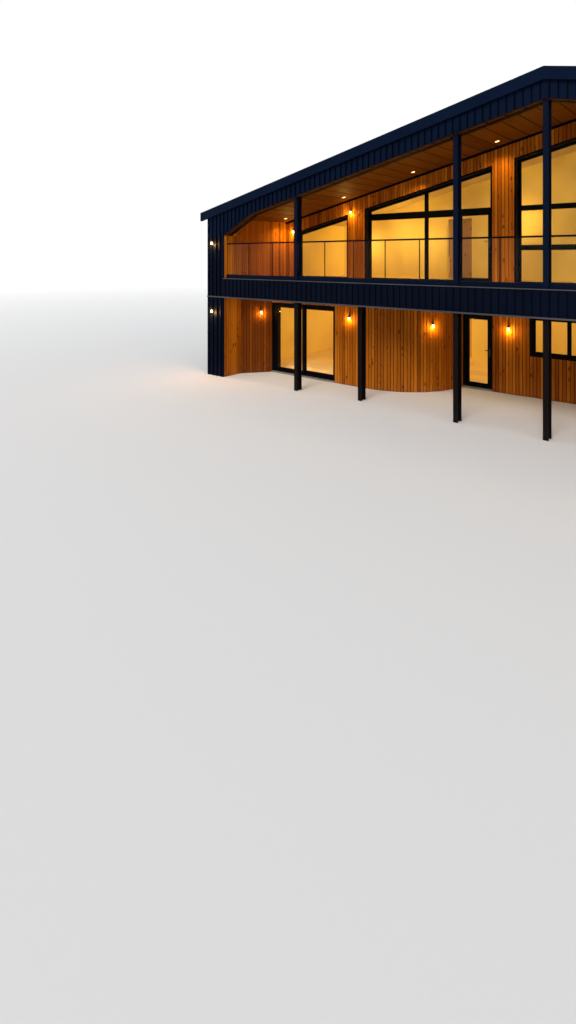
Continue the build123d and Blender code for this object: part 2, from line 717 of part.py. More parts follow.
# Balustrade: base channel, glass panels and top rail between the posts
half_web = POST_WEB / 2
rail_stops = [-PIER_INNER, *full_posts, PIER_INNER]
bays = []
for low, high in zip(rail_stops[:-1], rail_stops[1:]):
    bay_low = low if low == -PIER_INNER else low + half_web
    bay_high = high if high == PIER_INNER else high - half_web
    bays.append((bay_low, bay_high))
glass_bottom = DECK_TOP + CHANNEL_FLOOR
glass_top = RAIL_TOP - RAIL_HEIGHT + RAIL_GROOVE
glass_y = FRONT + GLASS_LINE

with BuildPart() as balustrade_channel:
    for low, high in bays:
        with BuildSketch(Plane.XY.offset(DECK_TOP)):
            rectangle(low, high, glass_y - CHANNEL_WIDTH / 2, glass_y + CHANNEL_WIDTH / 2)
        extrude(amount=CHANNEL_HEIGHT)
        with BuildSketch(Plane.XY.offset(glass_bottom)):
            rectangle(low, high, glass_y - BALUSTRADE_GLASS / 2, glass_y + BALUSTRADE_GLASS / 2)
        extrude(amount=CHANNEL_HEIGHT, mode=Mode.SUBTRACT)
balustrade_channel.part.label = "balustrade_channel"
export_step(balustrade_channel.part, "parts/balustrade_channel.step")

with BuildPart() as balustrade_glass:
    with BuildSketch(facing(glass_y - BALUSTRADE_GLASS / 2)):
        for low, high in bays:
            panels = max(1, round((high - low) / PANEL_WIDTH))
            pitch = (high - low) / panels
            for i in range(panels):
                with Locations((low + pitch * (i + 0.5), (glass_bottom + glass_top) / 2)):
                    Rectangle(pitch - PANEL_JOINT, glass_top - glass_bottom)
    extrude(amount=-BALUSTRADE_GLASS)
balustrade_glass.part.label = "balustrade_glass"
export_step(balustrade_glass.part, "parts/balustrade_glass.step")

with BuildPart() as balustrade_rail:
    for low, high in bays:
        with BuildSketch(Plane.XY.offset(RAIL_TOP - RAIL_HEIGHT)):
            rectangle(low, high, glass_y - RAIL_WIDTH / 2, glass_y + RAIL_WIDTH / 2)
        extrude(amount=RAIL_HEIGHT)
        with BuildSketch(Plane.XY.offset(RAIL_TOP - RAIL_HEIGHT)):
            rectangle(low, high, glass_y - BALUSTRADE_GLASS / 2, glass_y + BALUSTRADE_GLASS / 2)
        extrude(amount=RAIL_GROOVE, mode=Mode.SUBTRACT)
balustrade_rail.part.label = "balustrade_rail"
export_step(balustrade_rail.part, "parts/balustrade_rail.step")

# First-floor front windows: frames with their bars, and the panes between the bars
upper_frame_y = RECESSED + UPPER_FRAME_SETBACK
upper_pane_y = upper_frame_y + (FRAME_DEPTH - GLASS) / 2
large_middle = (LARGE_OUTER + LARGE_INNER) / 2
fixed_middle = (LARGE_OUTER + UPPER_DOOR_POST) / 2
upper_openings = [(-CENTRE_HALF, CENTRE_HALF)]
for sign in (-1, 1):
    upper_openings.append(tuple(sorted((sign * SMALL_OUTER, sign * SMALL_INNER))))
    upper_openings.append(tuple(sorted((sign * LARGE_OUTER, sign * LARGE_INNER))))


def upper_bars():
    """Mullions and transoms of the first-floor front windows, in the open sketch.

    The fixed lights under the transoms have a member as deep as the doors' sashes.
    """
    for sign in (-1, 1):
        with Locations((sign * large_middle, TRANSOM_HEIGHT)):
            Rectangle(LARGE_OUTER - LARGE_INNER, TRANSOM)
            Rectangle(UPPER_MULLION, 2 * (TRANSOM_HEIGHT - DECK_TOP))
        with Locations((sign * UPPER_DOOR_POST, TRANSOM_HEIGHT)):
            Rectangle(MULLION, 2 * (TRANSOM_HEIGHT - DECK_TOP))
        with Locations((sign * fixed_middle, TRANSOM_HEIGHT - (TRANSOM + SASH) / 2)):
            Rectangle(LARGE_OUTER - UPPER_DOOR_POST, SASH)
    for height in (TRANSOM_HEIGHT, LOWER_TRANSOM_HEIGHT):
        with Locations((0, height)):
            Rectangle(2 * CENTRE_HALF, TRANSOM)
    rectangle(-MULLION / 2, MULLION / 2, DECK_TOP, RIDGE_HEIGHT)


def upper_door(sign, inset):
    """Outline of the upper door in the large window on one side, in the open sketch."""
    low = LARGE_INNER + FRAME + inset
    high = UPPER_DOOR_POST - MULLION / 2 - inset
    bottom = DECK_TOP + FRAME + inset
    top = TRANSOM_HEIGHT - TRANSOM / 2 - inset
    with Locations((sign * (low + high) / 2, (bottom + top) / 2)):
        Rectangle(high - low, top - bottom)


with BuildPart() as upper_frames:
    with BuildSketch(facing(upper_frame_y)):
        for low, high in upper_openings:
            raked_opening(low, high)
        with BuildSketch(facing(upper_frame_y), mode=Mode.SUBTRACT):
            for low, high in upper_openings:
                raked_opening(low, high, FRAME)
            with BuildSketch(facing(upper_frame_y), mode=Mode.SUBTRACT):
                upper_bars()
    extrude(amount=-FRAME_DEPTH)
upper_frames.part.label = "upper_window_frames"
export_step(upper_frames.part, "parts/upper_window_frames.step")

with BuildPart() as upper_glass:
    with BuildSketch(facing(upper_pane_y)):
        for low, high in upper_openings:
            raked_opening(low, high, FRAME)
        with BuildSketch(facing(upper_pane_y), mode=Mode.SUBTRACT):
            upper_bars()
            for sign in (-1, 1):
                upper_door(sign, 0)
                with BuildSketch(facing(upper_pane_y), mode=Mode.SUBTRACT):
                    upper_door(sign, SASH)
    extrude(amount=-GLASS)
upper_glass.part.label = "upper_front_glass"
export_step(upper_glass.part, "parts/upper_front_glass.step")

# Doors to the balcony in the large windows, closed, and their levers
sash_y = upper_frame_y - SASH_PROJECTION
with BuildPart() as upper_doors:
    with BuildSketch(facing(sash_y)):
        for sign in (-1, 1):
            upper_door(sign, 0)
        with BuildSketch(facing(sash_y), mode=Mode.SUBTRACT):
            for sign in (-1, 1):
                upper_door(sign, SASH)
    extrude(amount=-SASH_DEPTH)
upper_doors.part.label = "upper_doors"
export_step(upper_doors.part, "parts/upper_doors.step")


def lever_handle(stile_x, face_y, outward, height):
    """Plate, neck and lever on one face of a stile, the lever reaching towards -X."""
    with BuildSketch(facing(face_y)) as plate:
        with Locations((stile_x, height - LEVER_PLATE_HEIGHT / 4)):
            Rectangle(LEVER_PLATE_WIDTH, LEVER_PLATE_HEIGHT)
    extrude(plate.sketch, amount=-outward * LEVER_PLATE)
    with BuildSketch(facing(face_y + outward * LEVER_PLATE)) as neck:
        with Locations((stile_x, height)):
            Circle(LEVER_NECK_RADIUS)
    extrude(neck.sketch, amount=-outward * (LEVER_REACH - LEVER_PLATE))
    with BuildSketch(Plane.YZ.offset(stile_x + LEVER_RADIUS)) as bar:
        with Locations((face_y + outward * LEVER_REACH, height)):
            Circle(LEVER_RADIUS)
    extrude(bar.sketch, amount=-LEVER_LENGTH)


with BuildPart() as upper_levers:
    lever_handle(-LARGE_INNER - FRAME - SASH / 2, sash_y, -1, DECK_TOP + UPPER_LEVER_HEIGHT)
    mirror(about=Plane.YZ)
upper_levers.part.label = "upper_door_levers"
export_step(upper_levers.part, "parts/upper_door_levers.step")

# Flat trims on the wall round the first-floor front windows and the wide ground-floor one
with BuildPart() as window_trims:
    with BuildSketch(facing(RECESSED)):
        for low, high in upper_openings:
            raked_opening(low, high, -WINDOW_TRIM)
        with BuildSketch(facing(RECESSED), mode=Mode.SUBTRACT):
            for low, high in upper_openings:
                raked_opening(low, high)
        with Locations((0, (SILL + WINDOW_HEAD) / 2)):
            opening_width, opening_height = 2 * GROUND_WINDOW_HALF, WINDOW_HEAD - SILL
            Rectangle(opening_width + 2 * WINDOW_TRIM, opening_height + 2 * WINDOW_TRIM)
            Rectangle(opening_width, opening_height, mode=Mode.SUBTRACT)
    extrude(amount=WINDOW_TRIM_PROJECTION)
window_trims.part.label = "window_trims"
export_step(window_trims.part, "parts/window_trims.step")

# Windows of the side walls
side_frame_x = HALF_WIDTH - FRAME_SETBACK
with BuildPart() as side_frames:
    with BuildSketch(Plane.YZ.offset(side_frame_x - FRAME_DEPTH)):
        side_windows()
        with BuildSketch(mode=Mode.SUBTRACT):
            side_windows(FRAME)
    extrude(amount=FRAME_DEPTH)
    mirror(about=Plane.YZ)
side_frames.part.label = "side_window_frames"
export_step(side_frames.part, "parts/side_window_frames.step")

with BuildPart() as side_glass:
    with BuildSketch(Plane.YZ.offset(side_frame_x - (FRAME_DEPTH + GLASS) / 2)):
        side_windows(FRAME)
    extrude(amount=GLASS)
    mirror(about=Plane.YZ)
side_glass.part.label = "side_glass"
export_step(side_glass.part, "parts/side_glass.step")

# Windows of the rear gable
rear_frame_y = REAR - FRAME_SETBACK
with BuildPart() as rear_frames:
    with BuildSketch(facing(rear_frame_y)):
        rear_windows()
        with BuildSketch(mode=Mode.SUBTRACT):
            rear_windows(FRAME)
    extrude(amount=FRAME_DEPTH)
rear_frames.part.label = "rear_window_frames"
export_step(rear_frames.part, "parts/rear_window_frames.step")

with BuildPart() as rear_glass:
    with BuildSketch(facing(rear_frame_y - (FRAME_DEPTH - GLASS) / 2)):
        rear_windows(FRAME)
    extrude(amount=GLASS)
rear_glass.part.label = "rear_glass"
export_step(rear_glass.part, "parts/rear_glass.step")


# Ground-floor doors, first the pieces of the left side
def ring(low, high, bottom, top, jamb, sill, head):
    """Frame with the given member widths round a rectangle, in the open sketch."""
    rectangle(low, high, bottom, top)
    rectangle(low + jamb, high - jamb, bottom + sill, top - head, mode=Mode.SUBTRACT)


sliding_y = BAY + FRAME_SETBACK
leaf_margin = (SLIDING_FRAME_DEPTH - 2 * LEAF_DEPTH - TRACK_GAP) / 2
fixed_leaf_y = sliding_y + leaf_margin
moving_leaf_y = fixed_leaf_y + LEAF_DEPTH + TRACK_GAP
sliding_middle = -(SLIDING_OUTER + SLIDING_INNER) / 2
track_top = SLIDING_SILL + TRACK_HEIGHT

with BuildPart() as sliding_frame:
    with BuildSketch(facing(sliding_y)):
        ring(-SLIDING_OUTER, -SLIDING_INNER, 0, SLIDING_HEAD, DOOR_FRAME, SLIDING_SILL, DOOR_FRAME)
    extrude(amount=-SLIDING_FRAME_DEPTH)
    track_y = moving_leaf_y + LEAF_DEPTH / 2
    with BuildSketch(Plane.XY.offset(SLIDING_SILL)):
        rectangle(
            -SLIDING_OUTER + DOOR_FRAME,
            -SLIDING_INNER - DOOR_FRAME,
            track_y - TRACK_WIDTH / 2,
            track_y + TRACK_WIDTH / 2,
        )
    extrude(amount=TRACK_HEIGHT)
sliding_frame.part.label = "sliding_door_frame"
export_step(sliding_frame.part, "parts/sliding_door_frame.step")

fixed_box = (
    -SLIDING_OUTER + DOOR_FRAME,
    sliding_middle + LEAF_OVERLAP / 2,
    SLIDING_SILL,
    SLIDING_HEAD - DOOR_FRAME,
)
with BuildPart() as fixed_leaf:
    with BuildSketch(facing(fixed_leaf_y)):
        ring(*fixed_box, STILE, STILE, STILE)
    extrude(amount=-LEAF_DEPTH)
fixed_leaf.part.label = "sliding_door_fixed_leaf"
export_step(fixed_leaf.part, "parts/sliding_door_fixed_leaf.step")

moving_box = (
    sliding_middle - LEAF_OVERLAP / 2,
    -SLIDING_INNER - DOOR_FRAME - DOOR_GAP,
    SLIDING_SILL + TRACK_LIFT,
    SLIDING_HEAD - DOOR_FRAME - DOOR_GAP,
)
with BuildPart() as moving_leaf:
    with BuildSketch(facing(moving_leaf_y)):
        ring(*moving_box, STILE, STILE, STILE)
    extrude(amount=-LEAF_DEPTH)
    shoe_bottom = track_top + RUNNING_CLEARANCE
    with BuildSketch(Plane.XY.offset(shoe_bottom)):
        for shoe_x in (moving_box[0] + SHOE_LENGTH, moving_box[1] - SHOE_LENGTH):
            with Locations((shoe_x, track_y)):
                Rectangle(SHOE_LENGTH, TRACK_WIDTH)
    extrude(amount=moving_box[2] - shoe_bottom)
    pull_x = moving_box[1] - STILE / 2
    with BuildSketch(Plane.YZ.offset(pull_x - PULL_WIDTH / 2)):
        rectangle(
            moving_leaf_y - PULL_DEPTH,
            moving_leaf_y,
            PULL_MIDDLE - PULL_HEIGHT / 2,
            PULL_MIDDLE + PULL_HEIGHT / 2,
        )
        rectangle(
            moving_leaf_y - PULL_DEPTH + PULL_BAR,
            moving_leaf_y,
            PULL_MIDDLE - PULL_HEIGHT / 2 + PULL_WIDTH,
            PULL_MIDDLE + PULL_HEIGHT / 2 - PULL_WIDTH,
            mode=Mode.SUBTRACT,
        )
    extrude(amount=PULL_WIDTH)
moving_leaf.part.label = "sliding_door_leaf"
export_step(moving_leaf.part, "parts/sliding_door_leaf.step")

with BuildPart() as moving_glass:
    with BuildSketch(facing(moving_leaf_y + (LEAF_DEPTH - GLASS) / 2)):
        rectangle(
            moving_box[0] + STILE, moving_box[1] - STILE, moving_box[2] + STILE, moving_box[3] - STILE
        )
    extrude(amount=-GLASS)
moving_glass.part.label = "sliding_door_glass"
export_step(moving_glass.part, "parts/sliding_door_glass.step")

# Hinged glazed door, opening into the room
glazed_y = RECESSED + FRAME_SETBACK
glazed_leaf_y = glazed_y + REBATE_DEPTH + DOOR_GAP
glazed_back = glazed_leaf_y + LEAF_DEPTH
leaf_box = (
    -GLAZED_OUTER + DOOR_FRAME + DOOR_GAP,
    -GLAZED_INNER - DOOR_FRAME - LATCH_GAP,
    GLAZED_SILL + DOOR_GAP,
    GLAZED_HEAD - DOOR_FRAME - DOOR_GAP,
)
hinge_x = leaf_box[0] - DOOR_GAP / 2
hinge_y = glazed_back + HINGE_RADIUS
hinge_places = [HINGE_FIRST + i * HINGE_SPACING for i in range(HINGE_COUNT)]


def hinge_knuckle(bottom, direction):
    """Knuckle with its plate, reaching from the hinge line to one side, from `bottom` up."""
    with Locations((hinge_x, hinge_y, bottom)):
        Cylinder(HINGE_RADIUS, HINGE_HEIGHT, align=(Align.CENTER, Align.CENTER, Align.MIN))
    side_align = Align.MIN if direction > 0 else Align.MAX
    with Locations((hinge_x + direction * DOOR_GAP / 2, glazed_back, bottom)):
        Box(
            HINGE_PLATE_WIDTH,
            HINGE_PLATE,
            HINGE_HEIGHT,
            align=(side_align, Align.MIN, Align.MIN),
        )


with BuildPart() as glazed_frame:
    with BuildSketch(facing(glazed_y)):
        ring(-GLAZED_OUTER, -GLAZED_INNER, 0, GLAZED_HEAD, DOOR_FRAME, GLAZED_SILL, DOOR_FRAME)
    extrude(amount=-(glazed_back - glazed_y))
    stop = DOOR_FRAME + REBATE_COVER
    with BuildSketch(facing(glazed_y)):
        ring(
            -GLAZED_OUTER, -GLAZED_INNER, 0, GLAZED_HEAD, stop, GLAZED_SILL, DOOR_FRAME + REBATE_COVER
        )
    extrude(amount=-REBATE_DEPTH)
    for place in hinge_places:
        hinge_knuckle(place, -1)
glazed_frame.part.label = "glazed_door_frame"
export_step(glazed_frame.part, "parts/glazed_door_frame.step")

with BuildPart() as glazed_leaf:
    with BuildSketch(facing(glazed_leaf_y)):
        ring(*leaf_box, STILE, STILE, STILE)
    extrude(amount=-LEAF_DEPTH)
    for place in hinge_places:
        hinge_knuckle(place + HINGE_HEIGHT + RUNNING_CLEARANCE, 1)
glazed_leaf.part.label = "glazed_door_leaf"
export_step(glazed_leaf.part, "parts/glazed_door_leaf.step")

with BuildPart() as glazed_glass:
    with BuildSketch(facing(glazed_leaf_y + (LEAF_DEPTH - GLASS) / 2)):
        rectangle(leaf_box[0] + STILE, leaf_box[1] - STILE, leaf_box[2] + STILE, leaf_box[3] - STILE)
    extrude(amount=-GLASS)
glazed_glass.part.label = "glazed_door_glass"
export_step(glazed_glass.part, "parts/glazed_door_glass.step")

with BuildPart() as glazed_lever:
    lever_x = leaf_box[1] - STILE / 2
    lever_handle(lever_x, glazed_leaf_y, -1, LEVER_HEIGHT)
    lever_handle(lever_x, glazed_back, 1, LEVER_HEIGHT)
glazed_lever.part.label = "glazed_door_lever"
export_step(glazed_lever.part, "parts/glazed_door_lever.step")

# Pale sills in front of the ground-floor door frames
with BuildPart() as door_sills:
    with BuildSketch(Plane.XY):
        rectangle(-SLIDING_OUTER, -SLIDING_INNER, BAY - DOOR_SILL_PROJECTION, sliding_y)
        rectangle(-GLAZED_OUTER, -GLAZED_INNER, RECESSED - DOOR_SILL_PROJECTION, glazed_y)
        mirror(about=Plane.YZ)
    extrude(amount=DOOR_SILL_HEIGHT)
door_sills.part.label = "door_sills"
export_step(door_sills.part, "parts/door_sills.step")

# The same doors on the right side, closed, and the wide window between them
with BuildPart() as garden_doors_right:
    for piece in (sliding_frame, fixed_leaf, moving_leaf, glazed_frame, glazed_leaf, glazed_lever):
        mirror(piece.part, about=Plane.YZ)
garden_doors_right.part.label = "garden_doors_right"
export_step(garden_doors_right.part, "parts/garden_doors_right.step")

light_width = 2 * GROUND_WINDOW_HALF / GROUND_WINDOW_LIGHTS
window_bars = [i * light_width - GROUND_WINDOW_HALF for i in range(1, GROUND_WINDOW_LIGHTS)]
frame_y = RECESSED + FRAME_SETBACK
pane_y = frame_y + (FRAME_DEPTH - GLASS) / 2
with BuildPart() as ground_window:
    with BuildSketch(facing(frame_y)):
        ring(-GROUND_WINDOW_HALF, GROUND_WINDOW_HALF, SILL, WINDOW_HEAD, FRAME, FRAME, FRAME)
        for bar_x in window_bars:
            rectangle(bar_x - MULLION / 2, bar_x + MULLION / 2, SILL, WINDOW_HEAD)
    extrude(amount=-FRAME_DEPTH)
ground_window.part.label = "ground_window_frame"
export_step(ground_window.part, "parts/ground_window_frame.step")

with BuildPart() as ground_glass:
    with BuildSketch(facing(pane_y)):
        rectangle(
            -GROUND_WINDOW_HALF + FRAME, GROUND_WINDOW_HALF - FRAME, SILL + FRAME, WINDOW_HEAD - FRAME
        )
        for bar_x in window_bars:
            rectangle(
                bar_x - MULLION / 2, bar_x + MULLION / 2, SILL, WINDOW_HEAD, mode=Mode.SUBTRACT
            )
    extrude(amount=-GLASS)
    with BuildSketch(facing(fixed_leaf_y + (LEAF_DEPTH - GLASS) / 2)):
        rectangle(fixed_box[0] + STILE, fixed_box[1] - STILE, fixed_box[2] + STILE, fixed_box[3] - STILE)
        mirror(about=Plane.YZ)
    extrude(amount=-GLASS)
    mirror(moving_glass.part, about=Plane.YZ)
    mirror(glazed_glass.part, about=Plane.YZ)
ground_glass.part.label = "ground_front_glass"
export_step(ground_glass.part, "parts/ground_front_glass.step")

# Wall lamps: a plate on the wall, an arm and an upright cylinder
oblique_turn = math.degrees(math.atan2(BAY_FRONT - PIER_DEPTH, PIER_INNER - SLIDING_OUTER))
curve_angle = math.radians(QUARTER_TURN - CURVE_LAMP_TURN)
pier_lamp_x = -HALF_WIDTH + PIER_LAMP_INSET
upper_lamp_x = -SMALL_INNER + UPPER_LAMP_INSET
corner_lamp_x = -SMALL_OUTER - CORNER_LAMP_INSET
oblique_lamp_x = -PIER_INNER + OBLIQUE_LAMP_SHARE * OBLIQUE_RUN
oblique_lamp_y = PIER_BACK + OBLIQUE_LAMP_SHARE * (BAY - PIER_BACK)
lamp_places = [
    (pier_lamp_x, FRONT, PIER_LAMP_HEIGHT, 0),
    (pier_lamp_x, FRONT, DECK_TOP + UPPER_PIER_LAMP_HEIGHT, 0),
    (oblique_lamp_x, oblique_lamp_y, BAY_LAMP_HEIGHT, oblique_turn),
    (-(SLIDING_INNER + BAY_CENTRE) / 2, BAY, BAY_LAMP_HEIGHT, 0),
    (
        -BAY_CENTRE + BAY_RADIUS * math.cos(curve_angle),
        RECESSED - BAY_RADIUS * math.sin(curve_angle),
        CURVE_LAMP_HEIGHT,
        CURVE_LAMP_TURN,
    ),
    (-GLAZED_INNER + REAR_LAMP_INSET, RECESSED, REAR_LAMP_HEIGHT, 0),
    (upper_lamp_x, RECESSED, roof_height(upper_lamp_x, UPPER_LAMP_DROP), 0),
    (corner_lamp_x, RECESSED, roof_height(corner_lamp_x, UPPER_LAMP_DROP), 0),
]
with BuildPart() as wall_lamps:
    for x, y, height, turn in lamp_places:
        with Locations(Location((x, y, height), (0, 0, turn))):
            Box(LAMP_PLATE, LAMP_BACK, LAMP_HEIGHT, align=(Align.CENTER, Align.MAX, Align.CENTER))
            Box(LAMP_ARM, LAMP_REACH, LAMP_ARM, align=(Align.CENTER, Align.MAX, Align.CENTER))
        with Locations(Location((x, y, height), (0, 0, turn)) * Location((0, -LAMP_REACH, 0))):
            Cylinder(LAMP_RADIUS, LAMP_HEIGHT)
    mirror(about=Plane.YZ)
wall_lamps.part.label = "wall_lamps"
export_step(wall_lamps.part, "parts/wall_lamps.step")

# Round downlights under the boarded soffit
with BuildPart() as downlights:
    for i in range(DOWNLIGHT_COUNT):
        x = INSIDE - DOWNLIGHT_INSET - i * DOWNLIGHT_SPACING
        z = roof_height(x, ROOF_THICKNESS + SOFFIT_BOARD)
        with Locations(Location((x, RECESSED - DOWNLIGHT_LINE, z), (0, ROOF_PITCH, 0))):
            Cylinder(
                DOWNLIGHT_RADIUS, DOWNLIGHT_DROP, align=(Align.CENTER, Align.CENTER, Align.MAX)
            )
    mirror(about=Plane.YZ)
downlights.part.label = "soffit_downlights"
export_step(downlights.part, "parts/soffit_downlights.step")
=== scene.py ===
import logging
import math
import random
from collections.abc import Callable, Iterable, Iterator
from dataclasses import KW_ONLY, dataclass, field, replace
from enum import Enum
from functools import cache, partial
from typing import ClassVar

import bmesh
import bpy
from mathutils import Matrix, Vector


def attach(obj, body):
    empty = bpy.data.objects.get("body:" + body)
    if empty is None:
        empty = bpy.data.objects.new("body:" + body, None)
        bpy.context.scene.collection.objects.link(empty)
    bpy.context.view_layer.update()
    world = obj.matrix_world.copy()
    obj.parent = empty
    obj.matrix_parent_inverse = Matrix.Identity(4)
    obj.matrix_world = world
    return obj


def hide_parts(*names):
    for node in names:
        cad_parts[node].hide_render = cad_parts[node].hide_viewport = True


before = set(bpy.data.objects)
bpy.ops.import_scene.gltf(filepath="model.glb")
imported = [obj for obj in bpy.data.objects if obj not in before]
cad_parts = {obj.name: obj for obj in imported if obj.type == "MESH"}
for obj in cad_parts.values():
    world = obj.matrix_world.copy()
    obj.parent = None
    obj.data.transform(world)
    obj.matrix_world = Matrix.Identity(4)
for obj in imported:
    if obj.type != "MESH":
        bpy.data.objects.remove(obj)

log = logging.getLogger("grain_store")

Colour = tuple[float, float, float]
Pair = tuple[float, float]
Level = Callable[[float], float]
Place = Callable[[Vector], Vector]


@dataclass(frozen=True)
class Doorway:
    """Two like door openings, one on each side of the ridge line."""

    near: float
    far: float
    head: float


# Main lines of the building, in metres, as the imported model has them
RIDGE = 7.45
SLOPE = math.tan(math.radians(13))
HALF_WIDTH = 10.1
INSIDE = 9.88
EAVE = 10.22
PIER_INNER = 9.37
FRONT = -7.5
REAR = 7.5
REAR_IN = 7.25
PIER_BACK = -6.75
PORTAL_BACK = -7.2
RECESSED = -3.98
RECESSED_IN = -3.73
BAY = -5.92
BAY_CENTRE = 5.21
BAY_RADIUS = 1.94
GROUND_FLOOR = 0.06
DECK_BOTTOM = 2.6
DECK_TOP = 2.95
HAUNCH = 4.36
KNEE = 8.2
INNER_WALL_FRONT = -0.3
INNER_WALL_BACK = -0.18

# How far each part of the roof and the front lies under the roof top
ROOF_DROP = 0.2
VERGE_DROP = 0.23
SOFFIT_DROP = 0.225
TRIM_DROP = 0.305
PORTAL_DROP = 0.59
HEAD_DROP = 0.75

# Doors and windows
SLIDING = Doorway(6.29, 8.78, 2.24)
GLAZED = Doorway(2.38, 3.22, 2.1)
INNER_DOORWAY = Doorway(4.48, 5.38, 2.1)
TRIM = 0.045
GROUND_WINDOW = 1.346
UPPER_OPENINGS = ((-9.34, -7.2), (-6.46, -2.42), (-1.744, 1.744), (2.42, 6.46), (7.2, 9.34))
WINDOW_ROWS = ((1.12, 2.1), (3.75, 4.6))
SIDE_WINDOWS = (1.6775, 5.3925)
SIDE_WINDOW_WIDTH = 1.4
REAR_WINDOWS = (-7.904, -3.952, 0.0, 3.952, 7.904)
REAR_WINDOW_WIDTH = 1.8
DOWNPIPES = (-6.15, 6.9)

# Limits that tell one face, edge or stretch of wall from another
FACING = 0.9
NEAR = 0.99
LEAST_HEIGHT = 0.012
SMOOTH_ANGLE = math.radians(40)

DUST_COLOUR = (0.33, 0.3, 0.26, 1.0)
WHITE = (1.0, 1.0, 1.0, 1.0)
GRAIN_REACH = 50.0
NODE_STEP = 180


def roof(x: float, drop: float = 0.0) -> float:
    """Height of the line `drop` under the roof top, at x from the ridge."""
    return RIDGE - drop - abs(x) * SLOPE


def under_roof(drop: float) -> Level:
    """Level that follows the roof at a drop under its top."""
    return lambda x: roof(x, drop)


def flat(height: float) -> Level:
    """Level at one height."""
    return lambda x: height


UNDERGROUND = flat(-1.0)
ABOVE_ROOF = flat(9.0)


def portal_underside(x: float) -> float:
    """Height of the underside of the front portal frame.

    Args:
        x: Distance from the ridge line, in metres.

    Returns:
        The height over the ground, in metres.
    """
    if abs(x) <= KNEE:
        return roof(x, PORTAL_DROP)
    knee = roof(KNEE, PORTAL_DROP)
    share = min((abs(x) - KNEE) / (PIER_INNER - KNEE), 1)
    return knee + (HAUNCH - knee) * share


def terrace_back(x: float) -> float:
    """Line of the ground-floor walls behind the terrace.

    Args:
        x: Distance from the ridge line, in metres.

    Returns:
        The Y of the outer wall face at x.
    """
    reach = abs(x)
    if reach <= BAY_CENTRE - BAY_RADIUS:
        return RECESSED
    if reach <= BAY_CENTRE:
        return RECESSED - math.sqrt(BAY_RADIUS**2 - (BAY_CENTRE - reach) ** 2)
    if reach <= SLIDING.far:
        return BAY
    share = (reach - SLIDING.far) / (PIER_INNER - SLIDING.far)
    return BAY + (PIER_BACK - BAY) * min(share, 1)


def opaque(colour: Colour, factor: float = 1.0) -> tuple[float, float, float, float]:
    """A colour with full alpha, made lighter or darker."""
    return (*(min(part * factor, 1.0) for part in colour), 1.0)


class Body(Enum):
    """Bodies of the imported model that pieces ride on."""

    HOUSE = "house"
    SLIDING_LEAF = "sliding_leaf"
    GLAZED_LEAF = "glazed_leaf"


class Slot(Enum):
    """Material slots of the record, named beside the finish of new pieces."""

    METAL = "black_metal"
    TIMBER = "timber_cladding"
    SOFFIT = "timber_soffit"
    FRAME = "frame_black"
    LAMP = "lamp_black"
    LIGHT = "lamp_light"


# Nodes and node groups


@cache
def built(maker: "Effect | Finish") -> bpy.types.ID:
    """Makes a node group or a material once and keeps it."""
    return maker.build()


